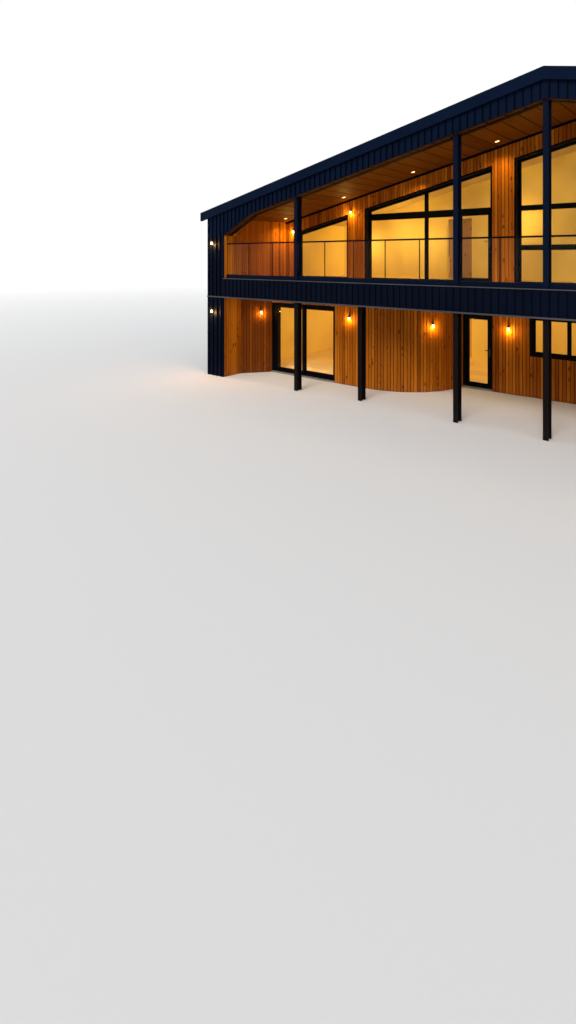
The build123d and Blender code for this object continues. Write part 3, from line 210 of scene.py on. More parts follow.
class Web:
    """A node tree that is being wired."""

    def __init__(self, tree: bpy.types.NodeTree) -> None:
        """Takes the tree that the nodes go into."""
        self.tree = tree

    def feed(self, node: bpy.types.Node, inputs: dict) -> bpy.types.Node:
        """Gives a node's inputs their values and links.

        Args:
            node: The node.
            inputs: Values or sockets by the name or number of the input they feed.

        Returns:
            The node.
        """
        for key, value in inputs.items():
            if isinstance(value, bpy.types.NodeSocket):
                self.tree.links.new(value, node.inputs[key])
            else:
                node.inputs[key].default_value = value
        return node

    def add(self, kind: str, inputs: dict | None = None, **settings: object) -> bpy.types.Node:
        """Adds a node.

        Args:
            kind: The node's type name.
            inputs: Values or sockets by the name or number of the input they feed.
            settings: Properties of the node.

        Returns:
            The new node.
        """
        node = self.tree.nodes.new(kind)
        for key, value in settings.items():
            setattr(node, key, value)
        node.location = (NODE_STEP * len(self.tree.nodes), 0)
        return self.feed(node, inputs or {})

    @property
    def shader(self) -> bpy.types.Node:
        """The surface shader that a new material has."""
        return self.tree.nodes["Principled BSDF"]

    def group(self, effect: "Effect", inputs: dict) -> bpy.types.NodeOutputs:
        """Places an effect's node group and returns its outputs."""
        return self.add("ShaderNodeGroup", inputs, node_tree=built(effect)).outputs

    def coordinates(self) -> bpy.types.NodeSocket:
        """Adds Object coordinates."""
        return self.add("ShaderNodeTexCoord").outputs["Object"]

    def upright(self, vector: object) -> object:
        """Takes the Z part of a vector."""
        return self.add("ShaderNodeSeparateXYZ", {0: vector}).outputs["Z"]

    def calc(self, operation: str, first: object, second: object, clamp: bool = False) -> object:
        """Wires a math node and returns its output."""
        inputs = {0: first, 1: second}
        return self.add("ShaderNodeMath", inputs, operation=operation, use_clamp=clamp).outputs[0]

    def times(self, first: object, second: object) -> object:
        """Wires a product and returns it."""
        return self.calc("MULTIPLY", first, second)

    def plus(self, first: object, second: object) -> object:
        """Wires a sum and returns it."""
        return self.calc("ADD", first, second)

    def blend(self, share: object, low: object, high: object) -> object:
        """Wires a colour mix and returns its output."""
        return self.add("ShaderNodeMix", {0: share, 6: low, 7: high}, data_type="RGBA").outputs[2]

    def span(self, value: object, low: float, high: float, start: float = 0.0, end: float = 1.0) -> object:
        """Wires a clamped change of range, from low and high to start and end."""
        return self.add("ShaderNodeMapRange", {0: value, 1: low, 2: high, 3: start, 4: end}).outputs[0]

    def noise(self, vector: object, scale: float, detail: float) -> object:
        """Wires a noise texture and returns its value."""
        return self.add("ShaderNodeTexNoise", {"Vector": vector, "Scale": scale, "Detail": detail}).outputs[0]

    def stretch(self, vector: object, scale: Colour) -> object:
        """Wires a scaled copy of a vector and returns it."""
        return self.add("ShaderNodeMapping", {"Vector": vector, "Scale": scale}).outputs[0]

    def bump(self, height: object, strength: float, distance: float) -> object:
        """Wires a bump node and returns its normal."""
        inputs = {"Height": height, "Strength": strength, "Distance": distance}
        return self.add("ShaderNodeBump", inputs).outputs[0]

    def show(self, share: object, first: object, second: object, end: str = "Material Output") -> None:
        """Shows one shader or another, by share, at the tree's end."""
        mix = self.add("ShaderNodeMixShader", {0: share, 1: first, 2: second})
        self.feed(self.tree.nodes[end], {"Surface": mix.outputs[0]})


@dataclass(frozen=True)
class Effect:
    """An effect that several materials share as a node group."""

    name: ClassVar[str]
    defaults: ClassVar[dict[str, float]]
    results: ClassVar[tuple[str, ...]]

    def build(self) -> bpy.types.NodeTree:
        """Makes the group, with a Vector input beside its own inputs.

        Returns:
            The node group.
        """
        tree = bpy.data.node_groups.new(self.name, "ShaderNodeTree")
        tree.interface.new_socket("Vector", in_out="INPUT", socket_type="NodeSocketVector")
        for label, default in self.defaults.items():
            socket = tree.interface.new_socket(label, in_out="INPUT", socket_type="NodeSocketFloat")
            socket.default_value = default
        for label in self.results:
            tree.interface.new_socket(label, in_out="OUTPUT", socket_type="NodeSocketFloat")
        web = Web(tree)
        given = web.add("NodeGroupInput").outputs
        web.feed(web.add("NodeGroupOutput"), self.wire(web, given))
        return tree

    def wire(self, web: Web, given: bpy.types.NodeOutputs) -> dict:
        """Wires the group; each effect has its own way."""
        raise NotImplementedError


@dataclass(frozen=True)
class WoodGrain(Effect):
    """Sawn grain along V of a UV map in metres, with rings, streaks and knots."""

    name = "wood_grain"
    defaults = {"Tone": 0.5, "Contrast": 1.0}
    results = ("Shade", "Knots", "Height")
    drift_scale: Colour = (9.0, 0.9, 1.0)
    streak_scale: Colour = (150.0, 2.4, 1.0)
    ring_scale: Colour = (22.0, 0.45, 1.0)
    ring_bend: float = 5.0
    knot_scale: Colour = (9.0, 4.6, 1.0)
    knot_edge: Pair = (0.13, 0.34)
    knot_share: Pair = (0.74, 0.8)
    drift_weight: float = 0.5
    streak_weight: float = 0.3
    ring_weight: float = 0.2
    ring_height: float = 0.4

    def wire(self, web: Web, given: bpy.types.NodeOutputs) -> dict:
        """Wires the grain.

        Args:
            web: The group's nodes.
            given: What the group is given.

        Returns:
            What it puts out, by name.
        """
        vector = given["Vector"]
        drift = web.noise(web.stretch(vector, self.drift_scale), 1.0, 2.0)
        streaks = web.noise(web.stretch(vector, self.streak_scale), 1.0, 4.0)
        inputs = {
            "Vector": web.stretch(vector, self.ring_scale),
            "Scale": 1.0,
            "Distortion": self.ring_bend,
            "Detail": 2.0,
        }
        rings = web.add("ShaderNodeTexWave", inputs, bands_direction="X").outputs["Fac"]
        inputs = {"Vector": web.stretch(vector, self.knot_scale), "Scale": 1.0}
        cells = web.add("ShaderNodeTexVoronoi", inputs)
        chosen = web.add("ShaderNodeSeparateColor", {0: cells.outputs["Color"]}).outputs[0]
        spots = web.span(cells.outputs["Distance"], *self.knot_edge, 1.0, 0.0)
        knots = web.times(spots, web.span(chosen, *self.knot_share))
        mixed = web.plus(web.times(drift, self.drift_weight), web.times(streaks, self.streak_weight))
        mixed = web.plus(mixed, web.times(rings, self.ring_weight))
        centred = web.times(web.calc("SUBTRACT", mixed, 0.5), given["Contrast"])
        relief = web.plus(streaks, web.times(rings, self.ring_height))
        return {
            "Shade": web.calc("ADD", centred, given["Tone"], clamp=True),
            "Knots": knots,
            "Height": web.calc("SUBTRACT", relief, knots),
        }


@dataclass(frozen=True)
class Weathering(Effect):
    """Cloudy variation with streaks that run down the wall."""

    name = "weathering"
    defaults = {"Amount": 0.5}
    results = ("Clouds", "Streaks")
    cloud_scale: float = 1.3
    streak_scale: Colour = (14.0, 14.0, 0.5)
    streak_edge: Pair = (0.5, 0.8)

    def wire(self, web: Web, given: bpy.types.NodeOutputs) -> dict:
        """Wires the clouds and the streaks.

        Args:
            web: The group's nodes.
            given: What the group is given.

        Returns:
            What it puts out, by name.
        """
        vector, amount = given["Vector"], given["Amount"]
        clouds = web.noise(vector, self.cloud_scale, 4.0)
        runs = web.noise(web.stretch(vector, self.streak_scale), 1.0, 3.0)
        streaks = web.span(runs, *self.streak_edge)
        return {"Clouds": web.times(clouds, amount), "Streaks": web.times(streaks, amount)}


@dataclass(frozen=True)
class SettledDust(Effect):
    """Mask of settled dust on level faces and of rain splash near the ground."""

    name = "settled_dust"
    defaults = {"Amount": 0.5}
    results = ("Mask",)
    level_edge: Pair = (0.3, 0.98)
    splash_height: float = 0.45
    patch_scale: float = 6.0

    def wire(self, web: Web, given: bpy.types.NodeOutputs) -> dict:
        """Wires the dust and the splash.

        Args:
            web: The group's nodes.
            given: What the group is given.

        Returns:
            What it puts out, by name.
        """
        normal = web.add("ShaderNodeNewGeometry").outputs["Normal"]
        level = web.span(web.upright(normal), *self.level_edge)
        patches = web.noise(given["Vector"], self.patch_scale, 4.0)
        low = web.span(web.upright(given["Vector"]), 0.0, self.splash_height, 1.0, 0.0)
        splash = web.times(low, web.span(patches, 0.4, 0.7, 0.2, 1.0))
        settled = web.times(level, web.span(patches, 0.3, 0.7, 0.4, 1.0))
        both = web.calc("MAXIMUM", settled, splash)
        return {"Mask": web.calc("MULTIPLY", both, given["Amount"], clamp=True)}


# Finishes


@dataclass(frozen=True)
class Finish:
    """A named finish with the colour that it has over most of the surface."""

    name: str
    colour: Colour
    _: KW_ONLY
    roughness: float = 0.5
    gloss: float = 0.3

    def build(self) -> bpy.types.Material:
        """Makes the material, wired as this kind of finish is.

        Returns:
            The material.
        """
        material = bpy.data.materials.new(self.name)
        material.use_nodes = True
        material.diffuse_color = opaque(self.colour)
        web = Web(material.node_tree)
        web.feed(web.shader, {"Roughness": self.roughness, "Specular IOR Level": self.gloss})
        web.feed(web.shader, self.wire(web, web.coordinates()))
        return material

    def wire(self, web: Web, vector: object) -> dict:
        """Wires the shader's inputs; each kind of finish has its own way."""
        raise NotImplementedError

    def shade(self, factor: float) -> tuple[float, float, float, float]:
        """The finish's colour made lighter or darker."""
        return opaque(self.colour, factor)

    def dusted(self, web: Web, base: object, vector: object, amount: float) -> object:
        """Lays dust over a colour."""
        mask = web.group(SettledDust(), {"Vector": vector, "Amount": amount})
        return web.blend(mask["Mask"], base, DUST_COLOUR)


@dataclass(frozen=True, kw_only=True)
class PaintedMetal(Finish):
    """Coated sheet or steel, with faint clouds, runs, dust and uneven gloss.

    The foot is the colour below the first floor, where it differs: painted warm lamp light on the parts under
    the deck.
    """

    metallic: float = 0.0
    dust: float = 0.02
    wave: float = 0.02
    foot: Colour | None = None
    weather: float = 1.0
    cloud_shades: Pair = (0.82, 1.22)
    streak_shade: float = 1.9
    streak_share: float = 0.25
    cloud_roughness: float = 0.2
    streak_roughness: float = 0.12
    swell_scale: float = 2.2
    grit_scale: float = 240.0
    grit: float = 0.02

    def wire(self, web: Web, vector: object) -> dict:
        """Wires the coated metal.

        Args:
            web: The material's nodes.
            vector: Object coordinates.

        Returns:
            What feeds the shader, by input.
        """
        weather = web.group(Weathering(), {"Vector": vector, "Amount": self.weather})
        clouds, streaks = weather["Clouds"], weather["Streaks"]
        low, high = self.cloud_shades
        base = web.blend(web.span(clouds, 0.3, 0.7), self.shade(low), self.shade(high))
        base = web.blend(web.times(streaks, self.streak_share), base, self.shade(self.streak_shade))
        # Painted lamp light: below the deck the colour turns to the warm-lit foot colour.
        if self.foot:
            base = web.blend(web.span(web.upright(vector), DECK_BOTTOM, DECK_TOP), opaque(self.foot), base)
        rough = web.times(clouds, self.cloud_roughness)
        rough = web.plus(rough, self.roughness - self.cloud_roughness / 2)
        swell = web.times(web.noise(vector, self.swell_scale, 1.0), self.wave)
        grit = web.times(web.noise(vector, self.grit_scale, 2.0), self.grit)
        return {
            "Metallic": self.metallic,
            "Base Color": self.dusted(web, base, vector, self.dust),
            "Roughness": web.plus(rough, web.times(streaks, self.streak_roughness)),
            "Normal": web.bump(web.plus(swell, grit), strength=0.5, distance=0.01),
        }


@dataclass(frozen=True, kw_only=True)
class Timber(Finish):
    """Oiled softwood boards that each have their own tone and grain."""

    pale: Colour
    deep: Colour
    roughness: float = 0.6
    contrast: float = 1.0
    dust: float = 0.05
    knot_share: float = 0.8
    knot_shade: float = 0.5

    def wire(self, web: Web, vector: object) -> dict:
        """Wires the timber on the boards' own UV map and tone.

        Args:
            web: The material's nodes.
            vector: Object coordinates.

        Returns:
            What feeds the shader, by input.
        """
        grain_map = web.add("ShaderNodeUVMap", uv_map="grain").outputs[0]
        tone = web.add("ShaderNodeAttribute", attribute_name="tone").outputs["Fac"]
        grain = web.group(WoodGrain(), {"Vector": grain_map, "Tone": tone, "Contrast": self.contrast})
        shade, knots = grain["Shade"], web.times(grain["Knots"], self.knot_share)
        colour = web.blend(web.span(shade, 0.0, 0.5), opaque(self.deep), opaque(self.colour))
        colour = web.blend(web.span(shade, 0.5, 1.0), colour, opaque(self.pale))
        colour = web.blend(knots, colour, opaque(self.deep, self.knot_shade))
        return {
            "Base Color": self.dusted(web, colour, vector, self.dust),
            "Roughness": web.span(shade, 0.0, 1.0, self.roughness + 0.1, self.roughness - 0.08),
            "Normal": web.bump(grain["Height"], strength=0.35, distance=0.0015),
        }


@dataclass(frozen=True)
class Backing(Finish):
    """Dark membrane behind open-jointed boards, near black also as painted shade deep in the joints, or a
    rubber seal.
    """

    def wire(self, web: Web, vector: object) -> dict:
        """Wires the membrane with a fine weave of its own.

        Args:
            web: The material's nodes.
            vector: Object coordinates.

        Returns:
            What feeds the shader, by input.
        """
        mottle = web.noise(vector, scale=18.0, detail=4.0)
        weave = web.noise(vector, scale=300.0, detail=2.0)
        return {
            "Base Color": web.blend(mottle, self.shade(0.6), self.shade(1.5)),
            "Normal": web.bump(weave, strength=0.4, distance=0.002),
        }


@dataclass(frozen=True, kw_only=True)
class Plaster(Finish):
    """Warmly lit wall or ceiling plaster inside the rooms."""

    glow: Colour
    strength: float
    roughness: float = 0.85
    dim: float = 0.45

    def wire(self, web: Web, vector: object) -> dict:
        """Wires the plaster, whose glow is painted light of the lit rooms.

        Args:
            web: The material's nodes.
            vector: Object coordinates.

        Returns:
            What feeds the shader, by input.
        """
        clouds = web.noise(vector, scale=0.55, detail=2.0)
        grains = web.noise(vector, scale=90.0, detail=3.0)
        # Painted room light: the glow, patchy by the clouds, lights the plaster as the rooms' lamps would.
        lit = web.blend(web.span(clouds, 0.35, 0.65), opaque(self.glow, self.dim), opaque(self.glow))
        return {
            "Base Color": web.blend(clouds, self.shade(0.9), self.shade(1.06)),
            "Emission Color": lit,
            "Emission Strength": self.strength,
            "Normal": web.bump(grains, strength=0.15, distance=0.002),
        }


@dataclass(frozen=True, kw_only=True)
class ClearGlass(Finish):
    """Clear glass with a trace of green and of rain marks."""

    ior: float = 1.12
    mark_scale: Colour = (3.0, 3.0, 0.7)

    def wire(self, web: Web, vector: object) -> dict:
        """Wires the glass, which lets light through to the rooms.

        Args:
            web: The material's nodes.
            vector: Object coordinates.

        Returns:
            What feeds the shader, by input.
        """
        marks = web.noise(web.stretch(vector, self.mark_scale), scale=1.6, detail=4.0)
        path = web.add("ShaderNodeLightPath").outputs["Is Shadow Ray"]
        clear = web.add("ShaderNodeBsdfTransparent", {"Color": self.shade(0.96)})
        web.show(path, web.shader.outputs[0], clear.outputs[0])
        return {
            "Transmission Weight": 1.0,
            "IOR": self.ior,
            "Roughness": web.span(marks, 0.5, 0.8, 0.0, 0.012),
            "Base Color": web.blend(web.span(marks, 0.4, 0.75), self.shade(1.0), self.shade(0.97)),
        }


@dataclass(frozen=True, kw_only=True)
class StoneTile(Finish):
    """Large matt stone tiles with thin joints."""

    length: float = 1.2
    width: float = 0.6
    joint: float = 0.003

    def wire(self, web: Web, vector: object) -> dict:
        """Wires the tiles on the floor's own coordinates.

        Args:
            web: The material's nodes.
            vector: Object coordinates.

        Returns:
            What feeds the shader, by input.
        """
        inputs = {
            "Vector": vector,
            "Color1": self.shade(0.86),
            "Color2": self.shade(1.12),
            "Mortar": self.shade(0.35),
            "Scale": 1.0,
            "Mortar Size": self.joint,
            "Brick Width": self.length,
            "Row Height": self.width,
        }
        tiles = web.add("ShaderNodeTexBrick", inputs).outputs
        speckle = web.noise(vector, scale=26.0, detail=5.0)
        height = web.calc("SUBTRACT", web.times(speckle, 0.2), tiles["Fac"])
        return {
            "Base Color": web.blend(web.span(speckle, 0.3, 0.75, 0.0, 0.35), tiles["Color"], self.shade(1.4)),
            "Roughness": web.span(speckle, 0.3, 0.7, self.roughness, self.roughness + 0.15),
            "Normal": web.bump(height, strength=0.4, distance=0.003),
        }


@dataclass(frozen=True, kw_only=True)
class LitGlass(Finish):
    """Opal glass of a lamp that is switched on."""

    strength: float
    deep: Colour

    def wire(self, web: Web, vector: object) -> dict:
        """Wires the lit glass, mottled from its deep to its bright colour.

        Args:
            web: The material's nodes.
            vector: Object coordinates.

        Returns:
            What feeds the shader, by input.
        """
        mottle = web.span(web.noise(vector, scale=35.0, detail=2.0), 0.3, 0.7)
        glow = web.blend(mottle, opaque(self.deep), opaque(self.colour))
        return {"Base Color": glow, "Emission Color": glow, "Emission Strength": self.strength}


class Finishes(Enum):
    """All finishes of the house."""

    BLACK_SHEET = PaintedMetal("black_sheet", (0.0013, 0.0032, 0.0105), wave=0.3, gloss=0.035)
    # A bluer copy of the black sheet: painted sky reflection on the fascia, verges, ridge and roof.
    GABLE_SHEET = PaintedMetal("gable_sheet", (0.0014, 0.0058, 0.021), wave=0.3, gloss=0.035)
    # Near-black ribs on the fascia, piers and band: painted shade on rib sides that face away from the sky.
    RIB_SHEET = PaintedMetal("rib_sheet", (0.0006, 0.0013, 0.005), dust=0.0, wave=0.1, gloss=0.03)
    # Side and rear ribs lighter than their sheet: painted highlight that picks the ribs out.
    WALL_RIB = PaintedMetal(
        "wall_rib_sheet", (0.011, 0.018, 0.035), roughness=0.45, dust=0.03, wave=0.2, gloss=0.15
    )
    FLASHING = PaintedMetal(
        "pale_flashing", (0.055, 0.052, 0.056), roughness=0.45, metallic=0.2, dust=0.12, wave=0.1, gloss=0.2
    )
    SILL = PaintedMetal("sill_metal", (0.24, 0.22, 0.2), roughness=0.45, metallic=0.3, dust=0.2, wave=0.05)
    # Near-black steel paint; its navy tint is a painted sky reflection, and its foot is painted warm lamp
    # light under the deck.
    STEEL = PaintedMetal(
        "steel_paint", (0.0014, 0.0046, 0.016), roughness=0.45, wave=0.06, gloss=0.045,
        foot=(0.0064, 0.0042, 0.004),
    )
    FRAME = PaintedMetal("frame_coating", (0.0018, 0.0023, 0.0042), dust=0.0, gloss=0.04)
    LAMP = PaintedMetal("lamp_paint", (0.014, 0.014, 0.015), roughness=0.4, metallic=0.1, dust=0.05)
    HANDLE = PaintedMetal("lever_coating", (0.018, 0.018, 0.02), roughness=0.3, metallic=0.3, gloss=0.5)
    BOARDS = Timber(
        "oiled_boards", (0.4, 0.105, 0.003), pale=(0.64, 0.21, 0.01), deep=(0.16, 0.036, 0.002), gloss=0.06
    )
    CEILING = Timber(
        "soffit_panels", (0.155, 0.048, 0.002), pale=(0.24, 0.084, 0.004), deep=(0.085, 0.023, 0.001),
        contrast=0.7, gloss=0.06,
    )
    # A darker copy of the soffit timber: painted shade under the portal frame.
    PORTAL_BOARDS = Timber(
        "portal_boards", (0.07, 0.021, 0.002), pale=(0.1, 0.032, 0.003), deep=(0.045, 0.012, 0.001),
        contrast=0.7, gloss=0.05,
    )
    INNER_DOOR = Timber(
        "inner_door_veneer", (0.74, 0.5, 0.24), pale=(0.8, 0.58, 0.32), deep=(0.6, 0.38, 0.17),
        roughness=0.5, contrast=0.5, gloss=0.2,
    )
    # Near-black membrane, dark also as painted shade deep in the board joints.
    MEMBRANE_AND_JOINT_SHADE = Backing("membrane_and_joint_shade", (0.01, 0.005, 0.002), roughness=0.85)
    RUBBER = Backing("glazing_rubber", (0.007, 0.005, 0.004), roughness=0.7, gloss=0.04)
    # These plasters glow with painted warm room light, strongest on the ground-floor ceiling.
    PLASTER = Plaster("room_plaster", (0.78, 0.54, 0.17), glow=(1.0, 0.54, 0.05), strength=0.28)
    ROOM_SOFFIT = Plaster("sloped_ceiling", (0.52, 0.38, 0.17), glow=(1.0, 0.6, 0.16), strength=0.05)
    LIT_PLASTER = Plaster("lit_ceiling", (0.82, 0.66, 0.32), glow=(1.0, 0.68, 0.22), strength=1.05)
    GLASS = ClearGlass("pane_glass", (0.97, 0.99, 0.98), roughness=0.01)
    TILE = StoneTile("stone_tile", (0.8, 0.58, 0.28))
    LIT = LitGlass("lit_opal", (1.0, 0.78, 0.42), deep=(1.0, 0.42, 0.1), roughness=0.4, strength=4.0)

    def made(self) -> bpy.types.Material:
        """The finish's material, made the first time it is asked for."""
        return built(self.value)


# Modelling


def clear_selection() -> None:
    """Leaves nothing selected."""
    bpy.ops.object.select_all(action="DESELECT")
    bpy.context.view_layer.objects.active = None


class Bench:
    """Holds one piece in edit mode, where its parts are picked by place or normal."""

    def __init__(self, piece: bpy.types.Object, mode: str = "EDGE") -> None:
        """Takes the piece and what is picked on it."""
        self.piece, self.mode = piece, mode

    def __enter__(self) -> "Bench":
        """Opens the piece in edit mode with nothing picked.

        Returns:
            The bench.
        """
        clear_selection()
        self.piece.select_set(True)
        bpy.context.view_layer.objects.active = self.piece
        bpy.ops.object.mode_set(mode="EDIT")
        bpy.ops.mesh.select_mode(type=self.mode)
        bpy.ops.mesh.select_all(action="DESELECT")
        return self

    def __exit__(self, *problem: object) -> None:
        """Goes back to object mode."""
        bpy.ops.object.mode_set(mode="OBJECT")

    def pick_all(self) -> None:
        """Selects the whole piece."""
        bpy.ops.mesh.select_all(action="SELECT")

    def pick(self, test: Callable[[object], bool]) -> None:
        """Selects the faces or edges that pass a test, and nothing else.

        Args:
            test: Given each face or edge, as the bench's mode says.
        """
        mesh = bmesh.from_edit_mesh(self.piece.data)
        for part in (*mesh.faces, *mesh.edges, *mesh.verts):
            part.select_set(False)
        for part in mesh.faces if self.mode == "FACE" else mesh.edges:
            if test(part):
                part.select_set(True)
        mesh.select_flush_mode()
        bmesh.update_edit_mesh(self.piece.data)


def middle(part: object) -> Vector:
    """Middle of an edge or a face."""
    return sum((vertex.co for vertex in part.verts), Vector()) / len(part.verts)


def reach_along(edge: object, axis: int) -> float:
    """How far an edge reaches along an axis."""
    return abs(edge.verts[0].co[axis] - edge.verts[1].co[axis])


def bevel(piece: bpy.types.Object, test: Callable[[object], bool], offset: float, segments: int) -> None:
    """Bevels the edges that pass a test.

    Args:
        piece: The piece.
        test: Given each edge.
        offset: Width of the bevel.
        segments: Faces across it.
    """
    with Bench(piece) as bench:
        bench.pick(test)
        bpy.ops.mesh.bevel(offset=offset, segments=segments, affect="EDGES")


def extrude(x: float, y: float, z: float) -> None:
    """Extrudes the picked faces by an offset."""
    bpy.ops.mesh.extrude_region_move(TRANSFORM_OT_translate={"value": (x, y, z)})


def named(name: str) -> bpy.types.Object:
    """Names the active object and its mesh.

    Args:
        name: The object's new name.

    Returns:
        The object.
    """
    piece = bpy.context.active_object
    piece.name = piece.data.name = name
    return piece


def block(name: str, low: Colour, high: Colour) -> bpy.types.Object:
    """Adds a cube at its size and place.

    Args:
        name: The new object's name.
        low: Its lowest corner.
        high: Its highest corner.

    Returns:
        The object, with its origin at the world's.
    """
    clear_selection()
    centre = [(start + end) / 2 for start, end in zip(low, high)]
    size = [end - start for start, end in zip(low, high)]
    bpy.ops.mesh.primitive_cube_add(size=1, location=centre, scale=size)
    bpy.ops.object.transform_apply(location=True, rotation=True, scale=True)
    return named(name)


def barrel(name: str, radius: float, low: float, high: float, sides: int = 24) -> bpy.types.Object:
    """Adds an upright cylinder on the Z axis.

    Args:
        name: The new object's name.
        radius: Its radius.
        low: Height of its bottom.
        high: Height of its top.
        sides: Faces round it.

    Returns:
        The object, with its origin at the world's.
    """
    clear_selection()
    centre = (0, 0, (low + high) / 2)
    bpy.ops.mesh.primitive_cylinder_add(vertices=sides, radius=radius, depth=high - low, location=centre)
    bpy.ops.object.transform_apply(location=True, rotation=True, scale=True)
    return named(name)


def laid(template: bpy.types.Object, name: str, place: Place) -> bpy.types.Object:
    """Copies a template with a mesh of its own and puts each vertex in its place.

    Args:
        template: The piece that was modelled once.
        name: Name of the copy.
        place: Gives a vertex its place.

    Returns:
        The copy.
    """
    copy = template.copy()
    copy.data = template.data.copy()
    copy.name = name
    for vertex in copy.data.vertices:
        vertex.co = place(vertex.co.copy())
    bpy.context.scene.collection.objects.link(copy)
    return copy


def joined(name: str, parts: list[bpy.types.Object]) -> bpy.types.Object:
    """Joins copies into one piece.

    Args:
        name: Name of the piece.
        parts: The copies.

    Returns:
        The piece.
    """
    clear_selection()
    for part in parts:
        part.select_set(True)
    bpy.context.view_layer.objects.active = parts[0]
    bpy.ops.object.join()
    return named(name)


def discard(template: bpy.types.Object) -> None:
    """Removes a template once its copies are laid."""
    bpy.data.objects.remove(template, do_unlink=True)


def moved(matrix: Matrix) -> Place:
    """Place that a matrix moves a point to."""
    return lambda point: matrix @ point


def set_out(template: bpy.types.Object, name: str, places: Iterable[Place]) -> bpy.types.Object:
    """Copies a template to every place and joins the copies.

    Args:
        template: The piece that was modelled once, which is then removed.
        name: Name of the joined piece.
        places: Where each copy goes.

    Returns:
        The joined piece.
    """
    copies = [laid(template, name, place) for place in places]
    discard(template)
    return joined(name, copies)


def smoothed(piece: bpy.types.Object) -> bpy.types.Object:
    """Shades a piece smooth but for its sharp edges.

    Args:
        piece: The piece, which is the one selected.

    Returns:
        The piece.
    """
    bpy.ops.object.shade_smooth_by_angle(angle=SMOOTH_ANGLE)
    return piece


def recalculated(piece: bpy.types.Object) -> bpy.types.Object:
    """Turns a piece's faces outwards.

    Args:
        piece: The piece.

    Returns:
        The piece.
    """
    with Bench(piece, "FACE") as bench:
        bench.pick_all()
        bpy.ops.mesh.normals_make_consistent(inside=False)
    return piece


def dress(
    piece: bpy.types.Object, finish: Finishes, slot: Slot | None = None, body: Body = Body.HOUSE
) -> bpy.types.Object:
    """Gives a piece its finish and its body.

    Args:
        piece: The piece.
        finish: What it is finished in.
        slot: Not used.
        body: The body that it moves with.

    Returns:
        The piece.
    """
    piece.data.materials.clear()
    piece.data.materials.append(finish.made())
    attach(piece, body.value)
    log.info("%s: %d faces", piece.name, len(piece.data.polygons))
    return piece


@dataclass(frozen=True)
class Strip:
    """An upright strip, such as a board or a rib, modelled once and copied at a pitch."""

    width: float
    depth: float
    pitch: float
    chamfer: float = 0.0

    def template(self, name: str) -> bpy.types.Object:
        """Models the strip one metre tall, its back on the plane Y=0 and facing -Y.

        Args:
            name: Name of the template.

        Returns:
            The template.
        """
        half = self.width / 2
        strip = block(name, (-half, -self.depth, 0), (half, 0, 1))
        if self.chamfer:
            front, side = -self.depth * NEAR, half * NEAR
            bevel(strip, lambda edge: middle(edge).y < front and abs(middle(edge).x) > side, self.chamfer, 1)
        return strip


@dataclass(frozen=True)
class Part:
    """One part of a strip along a face, between two cuts."""

    centre: float
    stretch: float
    low: float
    high: float

    def at(self, across: float) -> float:
        """Distance along the face of a point across the template."""
        return min(max(self.centre + across * self.stretch, self.low), self.high)


@dataclass(frozen=True)
class Grain:
    """A strip's tone, from 0, deep, to 1, pale, and where its grain starts."""

    tone: float
    start: Pair
    axis: int

    def laid(self, template: bpy.types.Object, name: str, place: Place) -> bpy.types.Object:
        """Lays a copy that has its grain along one coordinate, on a map in metres.

        Args:
            template: The strip.
            name: Name of the copy.
            place: Gives a vertex its place.

        Returns:
            The copy.
        """
        copy = laid(template, name, place)
        mesh, origin = copy.data, template.data.vertices
        layer = mesh.uv_layers.get("grain") or mesh.uv_layers.new(name="grain")
        for loop in mesh.loops:
            base, along = origin[loop.vertex_index].co, mesh.vertices[loop.vertex_index].co[self.axis]
            layer.data[loop.index].uv = (base.x - base.y + self.start[0], along + self.start[1])
        attribute = mesh.attributes.new("tone", "FLOAT", "POINT")
        attribute.data.foreach_set("value", [self.tone] * len(mesh.vertices))
        return copy


@dataclass(frozen=True)
class Run:
    """A wall face in plan, from its left end to its right end as seen from outside."""

    start: Pair
    end: Pair

    @property
    def length(self) -> float:
        """Length of the face in plan."""
        return math.dist(self.start, self.end)

    def at(self, along: float, out: float) -> Pair:
        """Point at a distance along the face and out from it.

        Args:
            along: Distance from the left end.
            out: Distance outwards.

        Returns:
            X and Y.
        """
        right = (self.end[0] - self.start[0]) / self.length
        back = (self.end[1] - self.start[1]) / self.length
        return self.start[0] + right * along + back * out, self.start[1] + back * along - right * out

    def mirrored(self) -> "Run":
        """The same face on the other side of the ridge line."""
        return Run((-self.end[0], self.end[1]), (-self.start[0], self.start[1]))


@dataclass(frozen=True)
class Arc:
    """A wall face rounded through a quarter turn in plan."""

    centre: Pair
    radius: float
    first: float
    turn: ClassVar[float] = 90.0

    @property
    def length(self) -> float:
        """Length of the arc."""
        return self.radius * math.radians(self.turn)

    def at(self, along: float, out: float) -> Pair:
        """Point at a distance along the arc and out from it.

        Args:
            along: Distance from the left end.
            out: Distance outwards.

        Returns:
            X and Y.
        """
        angle = math.radians(self.first) + along / self.radius
        reach = self.radius + out
        return self.centre[0] + reach * math.cos(angle), self.centre[1] + reach * math.sin(angle)

    def mirrored(self) -> "Arc":
        """The same face on the other side of the ridge line."""
        return Arc((-self.centre[0], self.centre[1]), self.radius, 180.0 - self.first - self.turn)


@dataclass(frozen=True)
class Opening:
    """A door or window in a wall face, between two distances along it."""

    low: float
    high: float
    bottom: Level
    top: Level

    def mirrored(self, length: float) -> "Opening":
        """The same opening in the mirrored face."""
        return Opening(length - self.high, length - self.low, self.bottom, self.top)


def windows(centres: Iterable[float], width: float, past: float = 0.0, below: float = 0.0) -> list[Opening]:
    """Openings of both rows of windows in a wall face.

    Args:
        centres: Middle of each window along the face.
        width: Width of a window.
        past: How far an opening reaches past its window at the sides and the head.
        below: How far it reaches below its window.

    Returns:
        The openings.
    """
    half = width / 2 + past
    return [
        Opening(centre - half, centre + half, flat(low - below), flat(high + past))
        for centre in centres
        for low, high in WINDOW_ROWS
    ]


